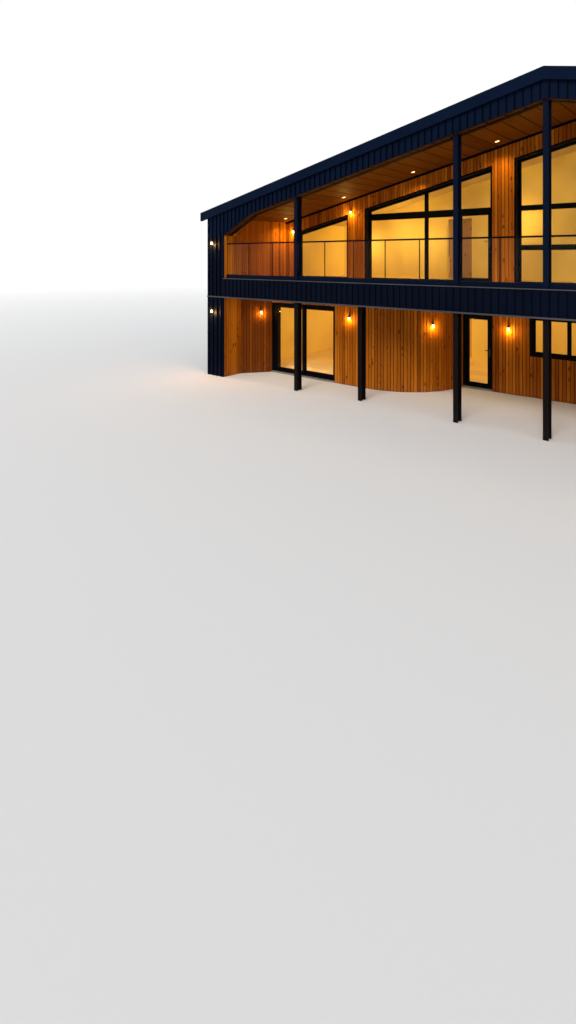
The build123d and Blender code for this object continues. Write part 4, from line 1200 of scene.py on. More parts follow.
@dataclass
class Covering:
    """Strips laid side by side at an even pitch over a face of the house."""

    strip: Strip
    _: KW_ONLY
    seed: int = 1
    tone: float = 0.5
    tone_spread: ClassVar[float]
    grain_axis: ClassVar[int]
    least_width: ClassVar[float]
    inside_out: ClassVar[bool]

    def parts(self, start: float, end: float, marks: Iterable[float]) -> Iterator[tuple[Part, Grain]]:
        """Spreads the strip from a start to an end and cuts it at the marks.

        Args:
            start: Where the first strip begins.
            end: Where the last strip ends.
            marks: Places to cut at.

        Yields:
            Each part, with the grain of its strip.
        """
        dice = random.Random(self.seed)
        count = max(1, round((end - start) / self.strip.pitch))
        pitch = (end - start) / count
        half = (pitch - (self.strip.pitch - self.strip.width)) / 2
        for number in range(count):
            centre = start + pitch * (number + 0.5)
            left, right = max(centre - half, start), min(centre + half, end)
            cuts = [left, *sorted(mark for mark in marks if left < mark < right), right]
            tone = dice.gauss(self.tone, self.tone_spread)
            grain = Grain(tone, (dice.uniform(0, GRAIN_REACH), dice.uniform(0, GRAIN_REACH)), self.grain_axis)
            for low, high in zip(cuts, cuts[1:]):
                if high - low >= self.least_width:
                    yield Part(centre, 2 * half / self.strip.width, low, high), grain

    def lay(self, template: bpy.types.Object, name: str) -> list[bpy.types.Object]:
        """Copies the strip over the face; each kind of covering has its own way."""
        raise NotImplementedError


@dataclass
class Cladding(Covering):
    """Upright strips on a wall face, cut round its openings."""

    run: Run | Arc
    bottom: Level
    top: Level
    openings: list[Opening] = field(default_factory=list)
    tone_spread = 0.17
    grain_axis = 2
    least_width = 0.006
    inside_out = False

    def mirrored(self) -> "Cladding":
        """The same cladding on the other side of the ridge line."""
        run, openings = self.run.mirrored(), [opening.mirrored(self.run.length) for opening in self.openings]
        return replace(self, run=run, openings=openings, seed=self.seed + 50)

    def spans(self, along: float) -> list[tuple[Level, Level]]:
        """Stretches of wall at a distance along the face, between its openings.

        Args:
            along: The distance.

        Returns:
            Bottom and top of each stretch.
        """
        x = self.run.at(along, 0)[0]
        crossed = [opening for opening in self.openings if opening.low < along < opening.high]
        levels = [self.bottom]
        for opening in sorted(crossed, key=lambda opening: opening.bottom(x)):
            levels += [opening.bottom, opening.top]
        levels.append(self.top)
        pairs = zip(levels[::2], levels[1::2])
        return [(low, high) for low, high in pairs if high(x) - low(x) > LEAST_HEIGHT]

    def placed(self, point: Vector, part: Part, span: tuple[Level, Level]) -> Vector:
        """Place of a template's point on the wall.

        Args:
            point: The point.
            part: The part of the strip.
            span: Bottom and top of the stretch of wall.

        Returns:
            The place.
        """
        along = part.at(point.x)
        x, y = self.run.at(along, -point.y)
        low, high = (level(self.run.at(along, 0)[0]) for level in span)
        return Vector((x, y, low + (high - low) * point.z))

    def lay(self, template: bpy.types.Object, name: str) -> list[bpy.types.Object]:
        """Copies the strip along the face.

        Args:
            template: The strip.
            name: Name of the copies.

        Returns:
            The copies.
        """
        marks = [edge for opening in self.openings for edge in (opening.low, opening.high)]
        return [
            grain.laid(template, name, partial(self.placed, part=part, span=span))
            for part, grain in self.parts(0.0, self.run.length, marks)
            for span in self.spans((part.low + part.high) / 2)
        ]


def both_sides(faces: list[Cladding]) -> list[Cladding]:
    """The faces of the left side, then those of the right side."""
    return [*faces, *(face.mirrored() for face in faces)]


@dataclass
class Ceiling(Covering):
    """Strips that run front to back on the underside of a floor or roof."""

    reach: float
    front: Level
    back: Level
    height: Level
    breaks: tuple[float, ...] = (0.0,)
    seed: int = field(default=9, kw_only=True)
    tone_spread = 0.12
    grain_axis = 1
    least_width = 0.0
    inside_out = True

    def placed(self, point: Vector, part: Part) -> Vector:
        """Place of a template's point under the ceiling.

        Args:
            point: The point.
            part: The part of the strip.

        Returns:
            The place.
        """
        x = part.at(point.x)
        y = self.front(x) + (self.back(x) - self.front(x)) * point.z
        return Vector((x, y, self.height(x) + point.y))

    def lay(self, template: bpy.types.Object, name: str) -> list[bpy.types.Object]:
        """Copies the strip side by side.

        Args:
            template: The strip.
            name: Name of the copies.

        Returns:
            The copies.
        """
        parts = self.parts(-self.reach, self.reach, self.breaks)
        return [grain.laid(template, name, partial(self.placed, part=part)) for part, grain in parts]


def cover(name: str, faces: list[Covering], finish: Finishes, slot: Slot | None = None) -> None:
    """Covers faces of the house with their strip, as one dressed piece.

    Args:
        name: Name of the piece.
        faces: The faces, all with the same strip.
        finish: What the strip is finished in.
        slot: The record's slot, or None.
    """
    template = faces[0].strip.template("strip")
    piece = joined(name, [copy for face in faces for copy in face.lay(template, name)])
    discard(template)
    if faces[0].inside_out:
        recalculated(piece)
    dress(piece, finish, slot)


# Sub-assemblies


@dataclass
class TimberFronts:
    """Boards on the recessed walls, the bays, the oblique walls and the pier returns."""

    board: Strip = Strip(0.076, 0.016, 0.09, 0.004)
    upper_board: Strip = Strip(0.082, 0.016, 0.097, 0.004)
    foot: float = 0.012
    head: float = DECK_BOTTOM - 0.022
    corner: float = FRONT + 0.04
    balustrade: Pair = (-7.352, -7.328)
    portal_gap: float = 0.05
    soffit_gap: float = 0.01
    # Painted shade: the oblique walls' boards take a darker mean tone, as boards in shade.
    oblique_shade_tone: float = -0.2

    def ground(self) -> list[Cladding]:
        """Lists the boarded faces of the ground floor.

        Returns:
            The faces.
        """
        foot, top = flat(self.foot), flat(self.head)
        pier, outer, inner = (-PIER_INNER, PIER_BACK), (-SLIDING.far, BAY), (-SLIDING.near, BAY)
        left = [
            Cladding(self.board, Run((-PIER_INNER, self.corner), pier), foot, top, seed=11),
            Cladding(self.board, Run(pier, outer), foot, top, seed=12, tone=self.oblique_shade_tone),
            Cladding(self.board, Run(outer, inner), flat(SLIDING.head), top, seed=13),
            Cladding(self.board, Run(inner, (-BAY_CENTRE, BAY)), foot, top, seed=14),
            Cladding(self.board, Arc((-BAY_CENTRE, RECESSED), BAY_RADIUS, -90.0), foot, top, seed=15),
        ]
        half = BAY_CENTRE - BAY_RADIUS
        window, (low, high) = GROUND_WINDOW + TRIM, WINDOW_ROWS[0]
        openings = [
            Opening(half - GLAZED.far, half - GLAZED.near, UNDERGROUND, flat(GLAZED.head)),
            Opening(half - window, half + window, flat(low - TRIM), flat(high + TRIM)),
            Opening(half + GLAZED.near, half + GLAZED.far, UNDERGROUND, flat(GLAZED.head)),
        ]
        wall = Run((-half, RECESSED), (half, RECESSED))
        return [*both_sides(left), Cladding(self.board, wall, foot, top, openings, seed=16)]

    def upper(self) -> list[Cladding]:
        """Lists the boarded faces over the balcony.

        Returns:
            The faces.
        """
        floor, haunch = flat(DECK_TOP + self.foot), flat(HAUNCH)
        soffit = under_roof(SOFFIT_DROP + self.soffit_gap)
        before, behind = self.balustrade
        rows = (
            ((-PIER_INNER, self.corner), (-PIER_INNER, before), floor, haunch, 20),
            ((-PIER_INNER, behind), (-PIER_INNER, PIER_BACK), floor, haunch, 21),
            ((-PIER_INNER, PORTAL_BACK + self.portal_gap), (-PIER_INNER, PIER_BACK), haunch, soffit, 21),
            ((-PIER_INNER, PIER_BACK), (-INSIDE, PIER_BACK), floor, soffit, 22),
            ((-INSIDE, PIER_BACK), (-INSIDE, RECESSED), floor, soffit, 23),
        )
        left = [
            Cladding(self.upper_board, Run(start, end), bottom, top, seed=seed)
            for start, end, bottom, top, seed in rows
        ]
        head = under_roof(HEAD_DROP - TRIM)
        openings = [
            Opening(low + INSIDE - TRIM, high + INSIDE + TRIM, UNDERGROUND, head)
            for low, high in UPPER_OPENINGS
        ]
        wall = Run((-INSIDE, RECESSED), (INSIDE, RECESSED))
        back = Cladding(self.upper_board, wall, floor, under_roof(TRIM_DROP), openings, seed=24)
        return [*both_sides(left), back]

    def build(self) -> None:
        """Lays the boards over every face."""
        cover("ground_boards", self.ground(), Finishes.BOARDS, Slot.TIMBER)
        cover("upper_boards", self.upper(), Finishes.BOARDS, Slot.TIMBER)


@dataclass
class TimberSoffits:
    """Panels over the balcony, under the front portal frame and over the terrace."""

    panel: Strip = Strip(0.375, 0.01, 0.405, 0.003)
    trim: Strip = Strip(0.6, 0.022, 0.6)
    board: Strip = Strip(0.084, 0.018, 0.097, 0.003)
    portal_front: float = -7.462
    trim_front: float = -7.305
    trim_back: float = PORTAL_BACK + 0.045
    wall_gap: float = 0.03
    band_gap: float = 0.045

    def build(self) -> None:
        """Lays the panels, the trim along the portal frame and the terrace boards."""
        back = flat(self.trim_back)
        balcony = Ceiling(self.panel, INSIDE, back, flat(RECESSED - self.wall_gap), under_roof(SOFFIT_DROP))
        cover("balcony_soffit_panels", [balcony], Finishes.CEILING, Slot.SOFFIT)
        bends, edge = (-KNEE, 0.0, KNEE), flat(self.trim_front)
        portal = Ceiling(self.panel, PIER_INNER, flat(self.portal_front), edge, portal_underside, bends)
        cover("portal_soffit_panels", [portal], Finishes.PORTAL_BOARDS, Slot.SOFFIT)
        trim = Ceiling(self.trim, PIER_INNER, edge, back, portal_underside, bends)
        cover("portal_edge_trim", [trim], Finishes.FRAME, Slot.METAL)
        front = flat(FRONT + self.band_gap)
        terrace = Ceiling(self.board, PIER_INNER, front, terrace_back, flat(DECK_BOTTOM))
        cover("terrace_soffit_boards", [terrace], Finishes.CEILING, Slot.SOFFIT)


@dataclass
class MetalRibs:
    """Upright ribs of the black sheet cladding and the seams of the roof."""

    rib: Strip = Strip(0.018, 0.02, 0.168, 0.003)
    tall_rib: Strip = Strip(0.022, 0.034, 0.168, 0.004)
    seam: Strip = Strip(0.012, 0.025, 0.42, 0.003)
    flashing: Pair = (2.438, 2.477)
    band_top: float = 3.018
    ridge_gap: float = 0.2
    eave_gap: float = 0.01
    window_gap: float = 0.02
    sill_gap: float = 0.03
    pipe_gap: float = 0.05

    def gable(self) -> list[Cladding]:
        """Lists the faces of the fascia and the corner piers.

        Returns:
            The faces.
        """
        under, over = (flat(height) for height in self.flashing)
        front = Run((-HALF_WIDTH, FRONT), (HALF_WIDTH, FRONT))
        pier = Run((-HALF_WIDTH, FRONT), (-PIER_INNER, FRONT))
        open_front = Opening(HALF_WIDTH - PIER_INNER, HALF_WIDTH + PIER_INNER, UNDERGROUND, portal_underside)
        fascia = Cladding(self.tall_rib, front, over, under_roof(VERGE_DROP), [open_front])
        return [fascia, *both_sides([Cladding(self.tall_rib, pier, flat(0.0), under)])]

    def band(self) -> list[Cladding]:
        """The balcony band between its two flashings."""
        run = Run((-PIER_INNER, FRONT), (PIER_INNER, FRONT))
        return [Cladding(self.rib, run, flat(self.flashing[1]), flat(self.band_top))]

    def sides(self) -> list[Cladding]:
        """Lists the side walls, with the windows and downpipes left free.

        Returns:
            The faces.
        """
        centres = [REAR - y for y in SIDE_WINDOWS]
        openings = windows(centres, SIDE_WINDOW_WIDTH, self.window_gap, self.sill_gap)
        for y in DOWNPIPES:
            low, high = REAR - y - self.pipe_gap, REAR - y + self.pipe_gap
            openings.append(Opening(low, high, UNDERGROUND, ABOVE_ROOF))
        run = Run((-HALF_WIDTH, REAR), (-HALF_WIDTH, FRONT))
        top = flat(roof(HALF_WIDTH, ROOF_DROP) - self.eave_gap)
        return both_sides([Cladding(self.rib, run, flat(0.0), top, openings)])

    def back(self) -> list[Cladding]:
        """Lists the rear gable, with its windows left free.

        Returns:
            The face.
        """
        centres = [HALF_WIDTH - x for x in REAR_WINDOWS]
        openings = windows(centres, REAR_WINDOW_WIDTH, self.window_gap, self.sill_gap)
        run = Run((HALF_WIDTH, REAR), (-HALF_WIDTH, REAR))
        return [Cladding(self.rib, run, flat(0.0), under_roof(VERGE_DROP), openings)]

    def on_slope(self, point: Vector, y: float, side: int) -> Vector:
        """Turns a point of the upright seam down along a roof slope.

        Args:
            point: The point.
            y: Where the seam runs.
            side: -1 for the left slope, 1 for the right.

        Returns:
            The place on the roof.
        """
        x = EAVE + (self.ridge_gap - EAVE) * point.z
        return Vector((side * x, y - side * point.x, roof(x) - point.y))

    def build(self) -> None:
        """Lays the ribs, then the seams of both roof slopes."""
        cover("gable_ribs", self.gable(), Finishes.RIB_SHEET, Slot.METAL)
        cover("band_ribs", self.band(), Finishes.RIB_SHEET, Slot.METAL)
        cover("side_ribs", self.sides(), Finishes.WALL_RIB, Slot.METAL)
        cover("rear_ribs", self.back(), Finishes.WALL_RIB, Slot.METAL)
        count = round((REAR - FRONT) / self.seam.pitch)
        pitch = (REAR - FRONT) / count
        places = [
            partial(self.on_slope, y=FRONT + pitch * number, side=side)
            for side in (-1, 1)
            for number in range(1, count)
        ]
        seams = set_out(self.seam.template("seam"), "roof_seams", places)
        dress(recalculated(seams), Finishes.GABLE_SHEET, Slot.METAL)


@dataclass
class WallLamps:
    """Jar lamps on the walls: a plate, an arm, a hood and a lit jar."""

    height: float = 0.13
    reach: float = 0.062
    hood_radius: float = 0.036
    hood_height: float = 0.052
    hood_rise: float = 0.008
    hood_wall: float = 0.003
    hood_hollow: float = 0.02
    jar_radius: float = 0.031
    jar_top: float = 0.035
    jar_foot: float = 0.009
    plate_width: float = 0.06
    plate_depth: float = 0.008
    plate_edge: float = 0.003
    arm_width: float = 0.022
    arm_start: float = 0.02
    arm_levels: Pair = (0.042, 0.02)
    arm_inset: float = 0.005
    arm_edge: float = 0.004
    places: tuple[tuple[float, float, float, float], ...] = (
        (-9.835, -7.5, 2.03, 0.0),
        (-9.835, -7.5, 4.15, 0.0),
        (-8.9924, -6.2188, 1.95, 54.6),
        (-5.75, -5.92, 1.95, 0.0),
        (-3.621, -5.093, 1.83, 55.0),
        (-1.92, -3.98, 1.77, 0.0),
        (-7.02, -3.98, 5.179, 0.0),
        (-9.47, -3.98, 4.614, 0.0),
    )

    def stands(self) -> list[Matrix]:
        """Place and turn of each lamp and of its like on the other side.

        Returns:
            A matrix for each lamp.
        """
        return [
            Matrix.Translation((side * x, y, z)) @ Matrix.Rotation(math.radians(side * turn), 4, "Z")
            for x, y, z, turn in self.places
            for side in (1, -1)
        ]

    def hood(self) -> bpy.types.Object:
        """Models the plate, the arm and the hood.

        Returns:
            The template, on a wall at Y=0.
        """
        top = self.height / 2
        hood = barrel("hood", self.hood_radius, top - self.hood_height, top)
        with Bench(hood, "FACE") as bench:
            bench.pick(lambda face: face.normal.z > FACING)
            bpy.ops.mesh.inset(thickness=0.01)
            bpy.ops.transform.translate(value=(0, 0, self.hood_rise))
            bench.pick(lambda face: face.normal.z < -FACING)
            bpy.ops.mesh.inset(thickness=self.hood_wall)
            extrude(0, 0, self.hood_hollow)
        hood.data.transform(Matrix.Translation((0, -self.reach, 0)))
        half, front = self.plate_width / 2, -self.plate_depth
        plate = block("plate", (-half, front, -top), (half, 0, top))
        bevel(plate, lambda edge: middle(edge).y < front * FACING, self.plate_edge, 2)
        half, (low, high) = self.arm_width / 2, self.arm_levels
        front = self.arm_start - self.reach
        arm = block("arm", (-half, front, top - low), (half, -self.arm_inset, top - high))
        side = half * FACING
        bevel(arm, lambda edge: abs(middle(edge).x) > side and reach_along(edge, 1) > half, self.arm_edge, 2)
        return joined("lamp_hood", [hood, plate, arm])

    def jar(self) -> bpy.types.Object:
        """Models the jar under the hood.

        Returns:
            The template, on a wall at Y=0.
        """
        top = self.height / 2
        jar = barrel("jar", self.jar_radius, -top, top - self.jar_top)
        bevel(jar, lambda edge: middle(edge).z < -top * NEAR, self.jar_foot, 3)
        jar.data.transform(Matrix.Translation((0, -self.reach, 0)))
        return jar

    def build(self) -> None:
        """Builds hoods and jars in place of the plain lamps."""
        places = [moved(stand) for stand in self.stands()]
        hoods = dress(smoothed(set_out(self.hood(), "lamp_hoods", places)), Finishes.LAMP, Slot.LAMP)
        jars = dress(smoothed(set_out(self.jar(), "lamp_jars", places)), Finishes.LIT, Slot.LIGHT)
        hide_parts("wall_lamps")
        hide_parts("wall_lamps")


@dataclass
class Downlights:
    """Round downlights in the balcony soffit, a ring and a lit lens each."""

    spots: tuple[float, ...] = (9.44, 6.98, 4.52, 2.06)
    line: float = -4.48
    radius: float = 0.062
    drop: float = 0.012
    rim: float = 0.007
    recess: float = 0.005
    lens_gap: float = 0.0075
    lens_levels: Pair = (0.0105, 0.002)
    lens_edge: float = 0.02
    lens_swell: float = 0.0012
    sides: int = 32

    def ring(self) -> bpy.types.Object:
        """Models the ring.

        Returns:
            The template, under a ceiling at Z=0.
        """
        ring = barrel("ring", self.radius, -self.drop, 0, self.sides)
        with Bench(ring, "FACE") as bench:
            bench.pick(lambda face: face.normal.z < -FACING)
            bpy.ops.mesh.inset(thickness=self.rim)
            extrude(0, 0, self.recess)
        return ring

    def lens(self) -> bpy.types.Object:
        """Models the lens, which swells a little.

        Returns:
            The template, under a ceiling at Z=0.
        """
        low, high = self.lens_levels
        lens = barrel("lens", self.radius - self.lens_gap, -low, -high, self.sides)
        with Bench(lens, "FACE") as bench:
            bench.pick(lambda face: face.normal.z < -FACING)
            bpy.ops.mesh.inset(thickness=self.lens_edge)
            bpy.ops.transform.translate(value=(0, 0, -self.lens_swell))
        return lens

    def under_soffit(self, point: Vector, x: float) -> Vector:
        """Puts a template's point under the sloped soffit at x."""
        across = x + point.x
        return Vector((across, self.line + point.y, roof(across, SOFFIT_DROP) + point.z))

    def build(self) -> None:
        """Sets rings and lenses out in place of the plain downlights."""
        places = [partial(self.under_soffit, x=x) for x in (*self.spots, *(-x for x in self.spots))]
        rings = dress(smoothed(set_out(self.ring(), "downlight_rings", places)), Finishes.LAMP, Slot.LAMP)
        lenses = dress(smoothed(set_out(self.lens(), "downlight_lenses", places)), Finishes.LIT, Slot.LIGHT)
        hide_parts("soffit_downlights")
        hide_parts("soffit_downlights")


@dataclass
class Rooms:
    """Plastered linings of the walls and ceilings inside."""

    sheet: Strip = Strip(1.2, 0.012, 1.2)
    front_wall: float = 0.3
    ceiling_front: float = -6.7

    def side(self, start: float, low: float, high: Level) -> Cladding:
        """Lines the left-hand side wall of a storey.

        Args:
            start: Y of the wall's front end.
            low: The floor.
            high: The ceiling.

        Returns:
            The wall's lining, with the windows behind its front end left free.
        """
        centres = [y - start for y in SIDE_WINDOWS if y > start + 1]
        run = Run((-INSIDE, start), (-INSIDE, REAR_IN))
        return Cladding(self.sheet, run, flat(low), high, windows(centres, SIDE_WINDOW_WIDTH))

    def inner(self, low: float, high: Level) -> Cladding:
        """Lines the inner wall of a storey, with its doorways left free.

        Args:
            low: The floor.
            high: The ceiling.

        Returns:
            The wall's lining.
        """
        width, head = INNER_DOORWAY.far - INNER_DOORWAY.near, flat(low + INNER_DOORWAY.head)
        starts = (INSIDE - INNER_DOORWAY.far, INSIDE + INNER_DOORWAY.near)
        doors = [Opening(start, start + width, UNDERGROUND, head) for start in starts]
        run = Run((-INSIDE, INNER_WALL_FRONT), (INSIDE, INNER_WALL_FRONT))
        return Cladding(self.sheet, run, flat(low), high, doors)

    def front_line(self, x: float) -> float:
        """Line behind the ground-floor front where the ceiling starts."""
        return max(terrace_back(x) + self.front_wall, self.ceiling_front)

    def build(self) -> None:
        """Lines the walls, then the ceilings."""
        ceiling, slope = flat(DECK_BOTTOM - self.sheet.depth), under_roof(ROOF_DROP + self.sheet.depth)
        storeys = ((GROUND_FLOOR, ceiling), (DECK_TOP, slope))
        starts = (PIER_BACK, RECESSED_IN)
        sides = [self.side(start, low, high) for start, (low, high) in zip(starts, storeys)]
        run = Run((-INSIDE, REAR_IN), (INSIDE, REAR_IN))
        openings = windows([x + INSIDE for x in REAR_WINDOWS], REAR_WINDOW_WIDTH)
        back = [Cladding(self.sheet, run, flat(low), high, openings) for low, high in storeys]
        inner = [self.inner(low, high) for low, high in storeys]
        cover("room_walls", [*both_sides(sides), *back, *inner], Finishes.PLASTER)
        rear = flat(REAR_IN)
        ground = Ceiling(self.sheet, INSIDE, self.front_line, rear, flat(DECK_BOTTOM))
        cover("ground_ceiling", [ground], Finishes.LIT_PLASTER)
        upper = Ceiling(self.sheet, INSIDE, flat(RECESSED_IN), rear, under_roof(ROOF_DROP))
        cover("upper_ceiling", [upper], Finishes.ROOM_SOFFIT)


@dataclass
class InnerDoors:
    """Panelled leaves that stand ajar in the doorways of the inner walls."""

    width: float = 0.87
    height: float = 2.06
    thickness: float = 0.04
    stile: float = 0.11
    moulding: float = 0.012
    panel_depth: float = 0.009
    pull_radius: float = 0.024
    pull_reach: float = 0.05
    pull_edge: float = 0.06
    pull_height: float = 1.0
    ajar: float = 46.0
    hinge_gap: float = 0.012
    wall_gap: float = 0.016
    floor_gap: float = 0.002

    def leaf(self) -> bpy.types.Object:
        """Models a leaf with sunk panels and a pull on both faces, hinged on the Z axis.

        Returns:
            The template.
        """
        half = self.thickness / 2
        leaf = block("leaf", (0, -half, 0), (self.width, half, self.height))
        with Bench(leaf) as bench:
            bench.pick(lambda edge: reach_along(edge, 2) > self.height / 2)
            bpy.ops.mesh.subdivide(number_cuts=1, quadcorner="INNERVERT")
        with Bench(leaf, "FACE") as bench:
            bench.pick(lambda face: abs(face.normal.y) > FACING)
            bpy.ops.mesh.inset(thickness=self.stile, use_individual=True)
            bpy.ops.mesh.inset(thickness=self.moulding, depth=-self.panel_depth, use_individual=True)
        reach = half + self.pull_reach
        upright = barrel("pull", self.pull_radius, -reach, reach, 16)
        offset = Vector((self.width - self.pull_edge, 0, self.pull_height))
        pull = laid(upright, "pull_through", lambda point: offset + point.xzy)
        discard(upright)
        return recalculated(joined("inner_leaf", [leaf, pull]))

    def build(self) -> None:
        """Hangs a leaf in each doorway, open into the rear room."""
        template = self.leaf()
        swing = Matrix.Rotation(math.radians(self.ajar), 4, "Z")
        line = INNER_WALL_BACK + self.thickness / 2 + self.wall_gap
        copies = []
        for floor in (GROUND_FLOOR + self.floor_gap, DECK_TOP + self.floor_gap):
            for hinge in (self.hinge_gap - INNER_DOORWAY.far, INNER_DOORWAY.near + self.hinge_gap):
                grain = Grain(0.5, (hinge, floor), 2)
                place = moved(Matrix.Translation((hinge, line, floor)) @ swing)
                copies.append(grain.laid(template, "inner_doors", place))
        discard(template)
        dress(joined("inner_doors", copies), Finishes.INNER_DOOR)


@dataclass
class GlazingSeals:
    """Rubber seals round the panes of the front, rear and door glass, drawn from the panes themselves."""

    width: float = 0.012
    proud: float = 0.004
    same_point: float = 0.0002
    same_plane: float = math.radians(2)

    def seal(self, node: str, side: int) -> bpy.types.Object:
        """Models the seals on one side of a node's panes.

        Args:
            node: The glass node.
            side: -1 for the panes' front, 1 for their back.

        Returns:
            The piece.
        """
        piece = laid(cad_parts[node], f"{node}_seals_{'out' if side < 0 else 'in'}", lambda point: point)
        piece.data.name = piece.name
        piece.parent = None
        for key in list(piece.keys()):
            del piece[key]
        with Bench(piece, "FACE") as bench:
            bench.pick_all()
            bpy.ops.mesh.remove_doubles(threshold=self.same_point)
            bench.pick_all()
            bpy.ops.mesh.dissolve_limited(angle_limit=self.same_plane)
            bench.pick(lambda face: face.normal.y * side < FACING)
            bpy.ops.mesh.delete(type="FACE")
            bench.pick_all()
            bpy.ops.mesh.inset(thickness=self.width, use_individual=True)
            bpy.ops.mesh.delete(type="FACE")
            bench.pick_all()
            extrude(0, side * self.proud, 0)
        return piece

    def build(self) -> None:
        """Builds the seals of the front, rear and door glass."""
        for node, side, body in (
            ("upper_front_glass", -1, Body.HOUSE),
            ("ground_front_glass", -1, Body.HOUSE),
            ("rear_glass", 1, Body.HOUSE),
            ("glazed_door_glass", -1, Body.GLAZED_LEAF),
            ("sliding_door_glass", -1, Body.SLIDING_LEAF),
        ):
            dress(self.seal(node, side), Finishes.RUBBER, Slot.FRAME, body)


@dataclass
class BalustradeJoints:
    """Dark seals in the upright joints between the balustrade's panes."""

    seal: Strip = Strip(0.018, 0.024, 0.93, 0.003)
    line: float = -7.34
    bottom: float = 3.15
    top: float = 4.08
    post_web: float = 0.0045
    posts: tuple[float, ...] = (-6.525, -1.9, 0.0, 1.9, 6.525)

    def in_joint(self, point: Vector, x: float) -> Vector:
        """Puts a template's point in the joint at x."""
        y, z = self.line + self.seal.depth / 2 + point.y, self.bottom + (self.top - self.bottom) * point.z
        return Vector((x + point.x, y, z))

    def build(self) -> None:
        """Sets a seal in each joint of every bay between posts."""
        ends = [-PIER_INNER, *(x + way * self.post_web for x in self.posts for way in (-1, 1)), PIER_INNER]
        places = []
        for low, high in zip(ends[::2], ends[1::2]):
            count = max(1, round((high - low) / self.seal.pitch))
            for number in range(1, count):
                places.append(partial(self.in_joint, x=low + (high - low) * number / count))
        seals = set_out(self.seal.template("seal"), "balustrade_joints", places)
        dress(seals, Finishes.RUBBER, Slot.FRAME)


# The model's own nodes

NODE_FINISHES: dict[Finishes, tuple[str, ...]] = {
    Finishes.BLACK_SHEET: (
        "balcony_band", "corner_pier_left", "corner_pier_right", "downpipes", "eaves_gutters",
        "front_portal_frame", "rear_wall", "side_wall_left", "side_wall_right",
    ),
    Finishes.GABLE_SHEET: ("gable_fascia", "ridge_cap", "roof_left", "roof_right", "verge_flashings"),
    Finishes.FLASHING: ("band_flashings",),
    Finishes.SILL: ("door_sills",),
    Finishes.STEEL: ("balustrade_channel", "centre_post", "ground_posts", "inner_posts", "outer_posts"),
    Finishes.FRAME: (
        "balustrade_rail", "garden_doors_right", "glazed_door_frame", "glazed_door_leaf",
        "ground_window_frame", "rear_window_frames", "side_window_frames", "sliding_door_fixed_leaf",
        "sliding_door_frame", "sliding_door_leaf", "soffit_trims", "upper_doors", "upper_window_frames",
        "window_trims",
    ),
    Finishes.MEMBRANE_AND_JOINT_SHADE: (
        "balcony_soffit", "bay_curve_1", "bay_curve_2", "bay_curve_3", "bay_front_walls", "door_lintels",
        "ground_centre_wall", "oblique_walls", "upper_front_wall_left", "upper_front_wall_right",
    ),
    Finishes.GLASS: (
        "balustrade_glass", "glazed_door_glass", "ground_front_glass", "rear_glass", "side_glass",
        "sliding_door_glass", "upper_front_glass",
    ),
    Finishes.HANDLE: ("glazed_door_lever", "upper_door_levers"),
    Finishes.TILE: ("first_floor", "ground_slab"),
    Finishes.PLASTER: ("inner_walls",),
    Finishes.LAMP: ("soffit_downlights", "wall_lamps"),
}


def finish_nodes() -> None:
    """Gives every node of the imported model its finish."""
    for finish, names in NODE_FINISHES.items():
        for name in names:
            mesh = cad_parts[name].data
            mesh.materials.clear()
            mesh.materials.append(finish.made())
    log.info("%d nodes finished", sum(len(names) for names in NODE_FINISHES.values()))


# Studio and light


